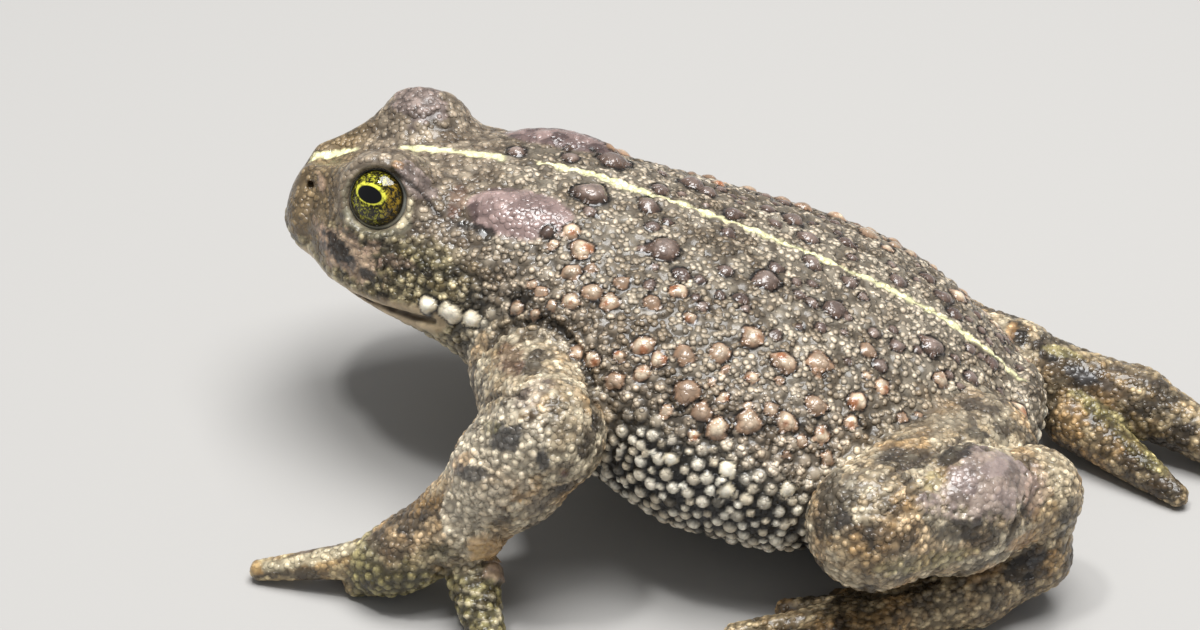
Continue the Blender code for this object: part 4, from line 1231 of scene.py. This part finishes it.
class Nodes:
    """Short way to write a material's nodes."""

    def __init__(self, name):
        self.material = bpy.data.materials.new(name)
        self.material.use_nodes = True
        self.tree = self.material.node_tree
        self.shader = self.tree.nodes["Principled BSDF"]

    def add(self, kind, inputs=(), **settings):
        node = self.tree.nodes.new("ShaderNode" + kind)
        for key, value in settings.items():
            setattr(node, key, value)
        for key, value in dict(inputs).items():
            self.feed(node.inputs[key], value)
        return node

    def feed(self, socket, value):
        if isinstance(value, bpy.types.NodeSocket):
            self.tree.links.new(value, socket)
        else:
            socket.default_value = value

    def surface(self, sockets):
        """Feeds the shader's sockets, and gives the finished material."""
        for key, value in sockets.items():
            self.feed(self.shader.inputs[key], value)
        return self.material

    def maths(self, operation, a, b=0.0):
        return self.add("Math", {0: a, 1: b}, operation=operation).outputs[0]

    def times(self, a, b):
        return self.maths("MULTIPLY", a, b)

    def vector(self, operation, a, b=(0, 0, 0), output="Vector"):
        return self.add("VectorMath", {0: a, 1: b}, operation=operation).outputs[output]

    def attribute(self, name, output="Fac"):
        return self.add("Attribute", attribute_name=name).outputs[output]

    def noise(self, scale, detail=2.0, roughness=0.5):
        place = self.add("TexCoord").outputs["Object"]
        inputs = {"Vector": place, "Scale": scale, "Detail": detail, "Roughness": roughness}
        return self.add("TexNoise", inputs).outputs[0]

    def cells(self, scale, output="Distance"):
        place = self.add("TexCoord").outputs["Object"]
        node = self.add("TexVoronoi", {"Vector": place, "Scale": scale}, feature="F1")
        return node.outputs[output]

    def spread(self, value, low, high, start=0.0, end=1.0):
        inputs = {"Value": value, "From Min": low, "From Max": high, "To Min": start, "To Max": end}
        return self.add("MapRange", inputs).outputs[0]

    def bump(self, strength, distance, height, under=()):
        inputs = {"Strength": strength, "Distance": distance, "Height": height, **dict(under)}
        return self.add("Bump", inputs).outputs[0]

    def tinted(self, blend, share, a, b):
        node = self.add("Mix", data_type="RGBA", blend_type=blend)
        self.feed(node.inputs["Factor"], share)
        self.feed(node.inputs["A"], a)
        self.feed(node.inputs["B"], b)
        return node.outputs["Result"]


# Features per metre of the finest skin textures, and the radius of a fine granule in parts
# of their spacing
FINE_CELLS, FINE_GRAIN, MOTTLE = 1850.0, 9000.0, 700.0
FINE_RADIUS = 0.56

# Their tones, in parts of the painted colour: from the gap, dark skin with painted shade, to
# the granule, from one granule to another, and of the mottling
GAP_TONES, GRANULE_TONES, MOTTLE_TONES = (0.34, 1.16), (0.72, 1.3), (0.74, 1.24)

# Heights of the bumps, and how glossy the skin is, from dry to wet
FINE_HEIGHT, GRAIN_HEIGHT, GRAIN_STRENGTH = 0.34 * MM, 0.05 * MM, 0.22
DRY_ROUGHNESS, WET_SMOOTHS, COAT_WEIGHTS = (0.34, 0.52), 0.16, (0.4, 0.9)
NOISE_MIDDLE = (0.3, 0.7)


def skin_material():
    """Moist granular skin: painted colour, fine round granules between with painted shade in their
    gaps, and a wet coat.
    """
    n = Nodes("moist_skin")
    fine, wet = n.attribute("fine"), n.attribute("wet")
    reach = n.cells(FINE_CELLS)
    bulge = n.maths("SUBTRACT", FINE_RADIUS**2, n.times(reach, reach))
    dome = n.maths("DIVIDE", n.maths("SQRT", n.maths("MAXIMUM", bulge, 0.0)), FINE_RADIUS)
    chance = n.add("SeparateColor", {0: n.cells(FINE_CELLS, "Color")}).outputs[0]
    # Darker towards each fine granule's edge: dark skin and painted shade in the gaps
    tone = n.times(n.spread(dome, 0.0, 0.9, *GAP_TONES), n.spread(chance, 0, 1, *GRANULE_TONES))
    tone = n.maths("ADD", n.times(n.maths("SUBTRACT", tone, 1.0), fine), 1.0)
    mottling = n.spread(n.noise(MOTTLE, 4.0, 0.65), *NOISE_MIDDLE, *MOTTLE_TONES)
    tone = n.times(tone, mottling)
    grey = n.add("CombineColor", {0: tone, 1: tone, 2: tone}).outputs[0]
    dull = n.spread(n.noise(MOTTLE * 2, 3.0), *NOISE_MIDDLE, *DRY_ROUGHNESS)
    grain = n.bump(GRAIN_STRENGTH, GRAIN_HEIGHT, n.noise(FINE_GRAIN, 3.0))
    bumps = n.bump(1.0, FINE_HEIGHT, n.times(dome, fine), {"Normal": grain})
    return n.surface({
        "Base Color": n.tinted("MULTIPLY", 1.0, n.attribute("paint", "Color"), grey),
        "Coat Weight": n.spread(wet, 0.0, 1.0, *COAT_WEIGHTS),
        "Roughness": n.maths("SUBTRACT", dull, n.times(wet, WET_SMOOTHS)),
        "Normal": bumps,
        "Coat Normal": bumps,
        "Specular IOR Level": 0.3,
        "Coat Roughness": 0.13,
        "Subsurface Weight": 0.05,
        "Subsurface Radius": (0.9, 0.5, 0.3),
        "Subsurface Scale": 0.5 * MM,
    })


# How much glands, mouth and lids smooth the granules away, and where fine granules and gloss
# change on a wart, in parts of its radius
GLAND_CALMS, MOUTH_CALMS, LIDS_CALM = 0.7, 0.9, 0.6
FINE_ON_WARTS, FINE_EDGE, STRIPE_CALMS = 0.2, (0.8, 1.05), 0.6
GLOSS_EDGE = (0.95, 1.15)
STRIPE_SETTLES = 0.25
FLESH_NODES = ["head", "torso"] + [
    kind + "_" + side for side in ("left", "right")
    for kind in ("upper_arm", "forearm", "hand", "thigh", "shank", "foot")
]


def granules_kept(points, gland, calmed, eye_distance):
    """How much of the granules' height each vertex keeps."""
    near_mouth = 1 - ramp(mouth_distance(points), LIP_WIDTH - LIP_EDGE, LIP_WIDTH + LIP_FADE)
    near_eye = 1 - ramp(eye_distance, *LID_EDGE)
    kept = (1 - GLAND_CALMS * gland) * (1 - MOUTH_CALMS * near_mouth) * (1 - LIDS_CALM * near_eye)
    return kept * (1 - calmed)


def build_skin():
    """One skin over all flesh, raised into granules and warts and painted."""
    rng = np.random.default_rng(SEED)
    points, quads, normals = smooth_skin()
    shares = zone_shares(points)
    heights, share, seat = raised_granules(points, shares, rng)
    pixels = photo_pixels(points)
    marks = photo_marks(points, normals, pixels)
    gland = 1 - ramp(parotoids(points) + uneven(points, *GLAND_FRAY), *GLAND_EDGE)
    calmed = np.maximum.reduce([calm * cover for cover, _, _, calm, _ in marks])
    eye_distance = length(mirrored(points) - np.array(EYE))
    rough = granules_kept(points, gland, calmed, eye_distance)
    heights *= rough
    kind, wart_share, spot, tone = raised_warts(points, wart_sites(), heights, rng)
    for cover, _, _, _, lift in marks:
        heights += lift * cover
    chance = rng.random(len(points))[seat]
    stripe = stripe_cover(middle(points, points[seat], STRIPE_SETTLES), pixels[0])
    stripe *= shares_of(shares, "back", "head", "snout")
    paint = skin_paint(points, shares, (share, seat, chance), marks, rough, gland, stripe)
    paint = wart_colours(points, paint, kind, wart_share, spot, tone)
    heights *= ramp(points[:, 2], *FLOOR_EDGE) * ramp(eye_distance, *SOCKET_EDGE)
    raised = points + normals * heights[:, None]
    raised[:, 2] = np.maximum(raised[:, 2], 0)
    skin = mesh_object("skin", raised, quads)
    set_colour(skin.data, "paint", paint)
    fine = zone_value(shares, FINE) * rough * (1 - STRIPE_CALMS * stripe)
    fine *= FINE_ON_WARTS + (1 - FINE_ON_WARTS) * ramp(wart_share, *FINE_EDGE)
    set_number(skin.data, "fine", fine)
    wet = np.maximum.reduce([GLAND_CALMS * gland, calmed, 1 - ramp(wart_share, *GLOSS_EDGE)])
    set_number(skin.data, "wet", wet)
    skin.data.materials.append(skin_material())
    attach(skin, "root")
    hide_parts(*FLESH_NODES)
    return skin


# Eyes: directions of the iris and the pupil from the eye's middle, and sizes in millimetres
IRIS_AXIS = np.array((-0.07, -0.858, 0.508))
PUPIL_AXIS = np.array((-0.17, -0.799, 0.577))
IRIS_RADIUS = 2.3
PUPIL_LONG, PUPIL_TALL = 1.12, 0.68
PUPIL_TILT = 10.0
EYE_RINGS, EYE_SPOKES = 60, 96
IRIS_OLIVE, IRIS_GREEN = (0.11, 0.105, 0.006, 1), (0.48, 0.46, 0.035, 1)
IRIS_GOLD, IRIS_BLACK = (0.30, 0.19, 0.015, 1), (0.011, 0.009, 0.003, 1)
RIM_YELLOW, PUPIL_BLACK = (0.72, 0.70, 0.07, 1), (0.001, 0.001, 0.0015, 1)
EYE_WHITE = (0.46, 0.47, 0.42, 1)


def iris_axes():
    """Directions to the right and up in the iris, seen from outside."""
    across = np.cross((0, 0, 1), IRIS_AXIS)
    across /= np.linalg.norm(across)
    return across, np.cross(IRIS_AXIS, across)


def eyeball(side):
    """A sphere with its pole along the gaze, and the iris's own coordinates on it."""
    sphere = bmesh.new()
    bmesh.ops.create_uvsphere(
        sphere, u_segments=EYE_SPOKES, v_segments=EYE_RINGS, radius=EYE_RADIUS
    )
    axes = np.stack([*iris_axes(), IRIS_AXIS])
    shell = np.array([vertex.co for vertex in sphere.verts]) @ axes
    mirror = (1, 1 if side == "left" else -1, 1)
    mesh = bpy.data.meshes.new("eyeball_" + side)
    sphere.to_mesh(mesh)
    sphere.free()
    where = placed((shell + EYE) * mirror)
    mesh.vertices.foreach_set("co", where.astype(np.float32).ravel())
    if side == "right":
        mesh.flip_normals()
    mesh.shade_smooth()
    layer = mesh.attributes.new("iris", "FLOAT_VECTOR", "POINT")
    layer.data.foreach_set("vector", (shell @ axes.T).astype(np.float32).ravel())
    return add_object("eyeball_" + side, mesh)


def eye_material():
    """Golden green iris netted with black, a level black pupil and a thin yellow rim.

    Places are in millimetres, and the spreads pick the share of the noise that shows."""
    n = Nodes("wet_eye")
    place = n.attribute("iris", "Vector")
    pupil_place = tuple(EYE_RADIUS * (PUPIL_AXIS @ axis) for axis in iris_axes()) + (0,)
    moved = n.vector("SUBTRACT", place, pupil_place)
    turn = {"Vector": moved, "Angle": math.radians(PUPIL_TILT)}
    turned = n.add("VectorRotate", turn, rotation_type="Z_AXIS").outputs[0]
    stretched = n.vector("MULTIPLY", turned, (1 / PUPIL_LONG, 1 / PUPIL_TALL, 0))
    pupil = n.vector("LENGTH", stretched, output="Value")
    out = n.vector("LENGTH", n.vector("MULTIPLY", place, (1, 1, 0)), output="Value")
    right, _, front = n.add("SeparateXYZ", {0: place}).outputs
    warp = n.add("TexNoise", {"Vector": place, "Scale": 1.6, "Detail": 3.0})
    bent = n.vector("ADD", place, warp.outputs["Color"])
    net = n.add("TexVoronoi", {"Vector": bent, "Scale": 3.0}, feature="DISTANCE_TO_EDGE").outputs[0]
    fine = {"Vector": bent, "Scale": 2.4, "Detail": 4.0, "Roughness": 0.65}
    speck = n.add("TexNoise", fine).outputs[0]
    right_side = n.spread(right, 0.5, 1.4)
    green = n.tinted("MIX", n.spread(speck, 0.4, 0.62), IRIS_OLIVE, IRIS_GREEN)
    gold = n.tinted("MIX", right_side, green, IRIS_GOLD)
    flecks = n.times(n.spread(net, 0.03, 0.14), n.spread(speck, 0.46, 0.55))
    wave = n.maths("ADD", n.times(out, 26.0), n.times(speck, 17.0))
    streaks = n.times(n.spread(n.maths("SINE", wave), 0.0, 0.8), right_side)
    streaks = n.times(streaks, n.spread(speck, 0.4, 0.54, 0.0, 0.7))
    iris = n.tinted("MIX", n.maths("MAXIMUM", flecks, streaks), IRIS_BLACK, gold)
    upward = n.add("SeparateXYZ", {0: turned}).outputs[1]
    thick = n.maths("ADD", n.spread(upward, -0.8, 0.8, 0.98, 1.18), n.times(speck, 0.3))
    rim = n.spread(n.maths("SUBTRACT", pupil, thick), -0.04, 0.08, 1.0, 0.0)
    rim = n.times(rim, n.spread(speck, 0.36, 0.5, 0.35, 1.0))
    dark_ring = n.spread(out, IRIS_RADIUS - 0.28, IRIS_RADIUS - 0.08)
    white = n.spread(out, IRIS_RADIUS - 0.02, IRIS_RADIUS + 0.10)
    behind = n.spread(front, 0.0, 0.1, 1.0, 0.0)
    iris = n.tinted("MIX", rim, iris, RIM_YELLOW)
    iris = n.tinted("MIX", n.spread(pupil, 0.96, 1.06, 1.0, 0.0), iris, PUPIL_BLACK)
    iris = n.tinted("MIX", dark_ring, iris, IRIS_BLACK)
    return n.surface({
        "Base Color": n.tinted("MIX", n.maths("MAXIMUM", white, behind), iris, EYE_WHITE),
        "Roughness": 0.3,
        "Specular IOR Level": 0.0,
        "Coat Weight": 1.0,
        "Coat Roughness": 0.02,
    })


def build_eyes():
    finish = eye_material()
    for side in ("left", "right"):
        eye = eyeball(side)
        eye.data.materials.append(finish)
        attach(eye, "root")
        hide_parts("eye_" + side)


# Floor, light and camera, in metres
FLOOR_COLOUR, FLOOR_REACH, FLOOR_DROP = (0.40, 0.39, 0.375, 1), 2.0, 0.0001
SKY_COLOUR, SKY_STRENGTH = (0.93, 0.96, 1.0, 1), 0.32
LAMPS = [
    ("sky_panel", (0.06, 0.04, 0.60), 0.36, 5.2),
    ("sun_panel", (-0.128, -0.062, 0.530), 0.055, 1.0),
]


def build_floor():
    ring = ((-1, -1), (1, -1), (1, 1), (-1, 1))
    corners = [(FLOOR_REACH * x, FLOOR_REACH * y, -FLOOR_DROP) for x, y in ring]
    mesh = bpy.data.meshes.new("floor")
    mesh.from_pydata(corners, [], [(0, 1, 2, 3)])
    finish = Nodes("pale_floor").surface({"Base Color": FLOOR_COLOUR, "Roughness": 0.8})
    mesh.materials.append(finish)
    add_object("floor", mesh)


def facing_matrix(back, place):
    """Matrix of a lamp or camera at a place, whose back points along a direction."""
    right = np.cross((0, 0, 1), back)
    right /= np.linalg.norm(right)
    axes = np.stack([right, np.cross(back, right), back, place], -1)
    return Matrix([*axes.tolist(), (0, 0, 0, 1)])


def build_lights():
    world = bpy.data.worlds.new("studio")
    world.use_nodes = True
    sky = world.node_tree.nodes["Background"]
    sky.inputs["Color"].default_value = SKY_COLOUR
    sky.inputs["Strength"].default_value = SKY_STRENGTH
    bpy.context.scene.world = world
    for name, place, size, power in LAMPS:
        data = bpy.data.lights.new(name, "AREA")
        data.energy, data.size = power, size
        lamp = add_object(name, data)
        lamp.matrix_world = facing_matrix(np.array(place) / np.linalg.norm(place), place)
    bpy.context.scene.view_settings.view_transform = "Standard"


def build_camera():
    back = camera_axes()[2]
    data = bpy.data.cameras.new("photo_camera")
    data.sensor_width = SENSOR_WIDTH
    data.lens = FOCAL_PIXELS * SENSOR_WIDTH / PHOTO_WIDTH
    data.clip_start = 0.01
    camera = add_object("photo_camera", data)
    place = placed(np.array(CAMERA_TARGET) + CAMERA_DISTANCE * back)
    camera.matrix_world = facing_matrix(back, place)
    bpy.context.scene.camera = camera


build_skin()
build_eyes()
build_floor()
build_lights()
build_camera()
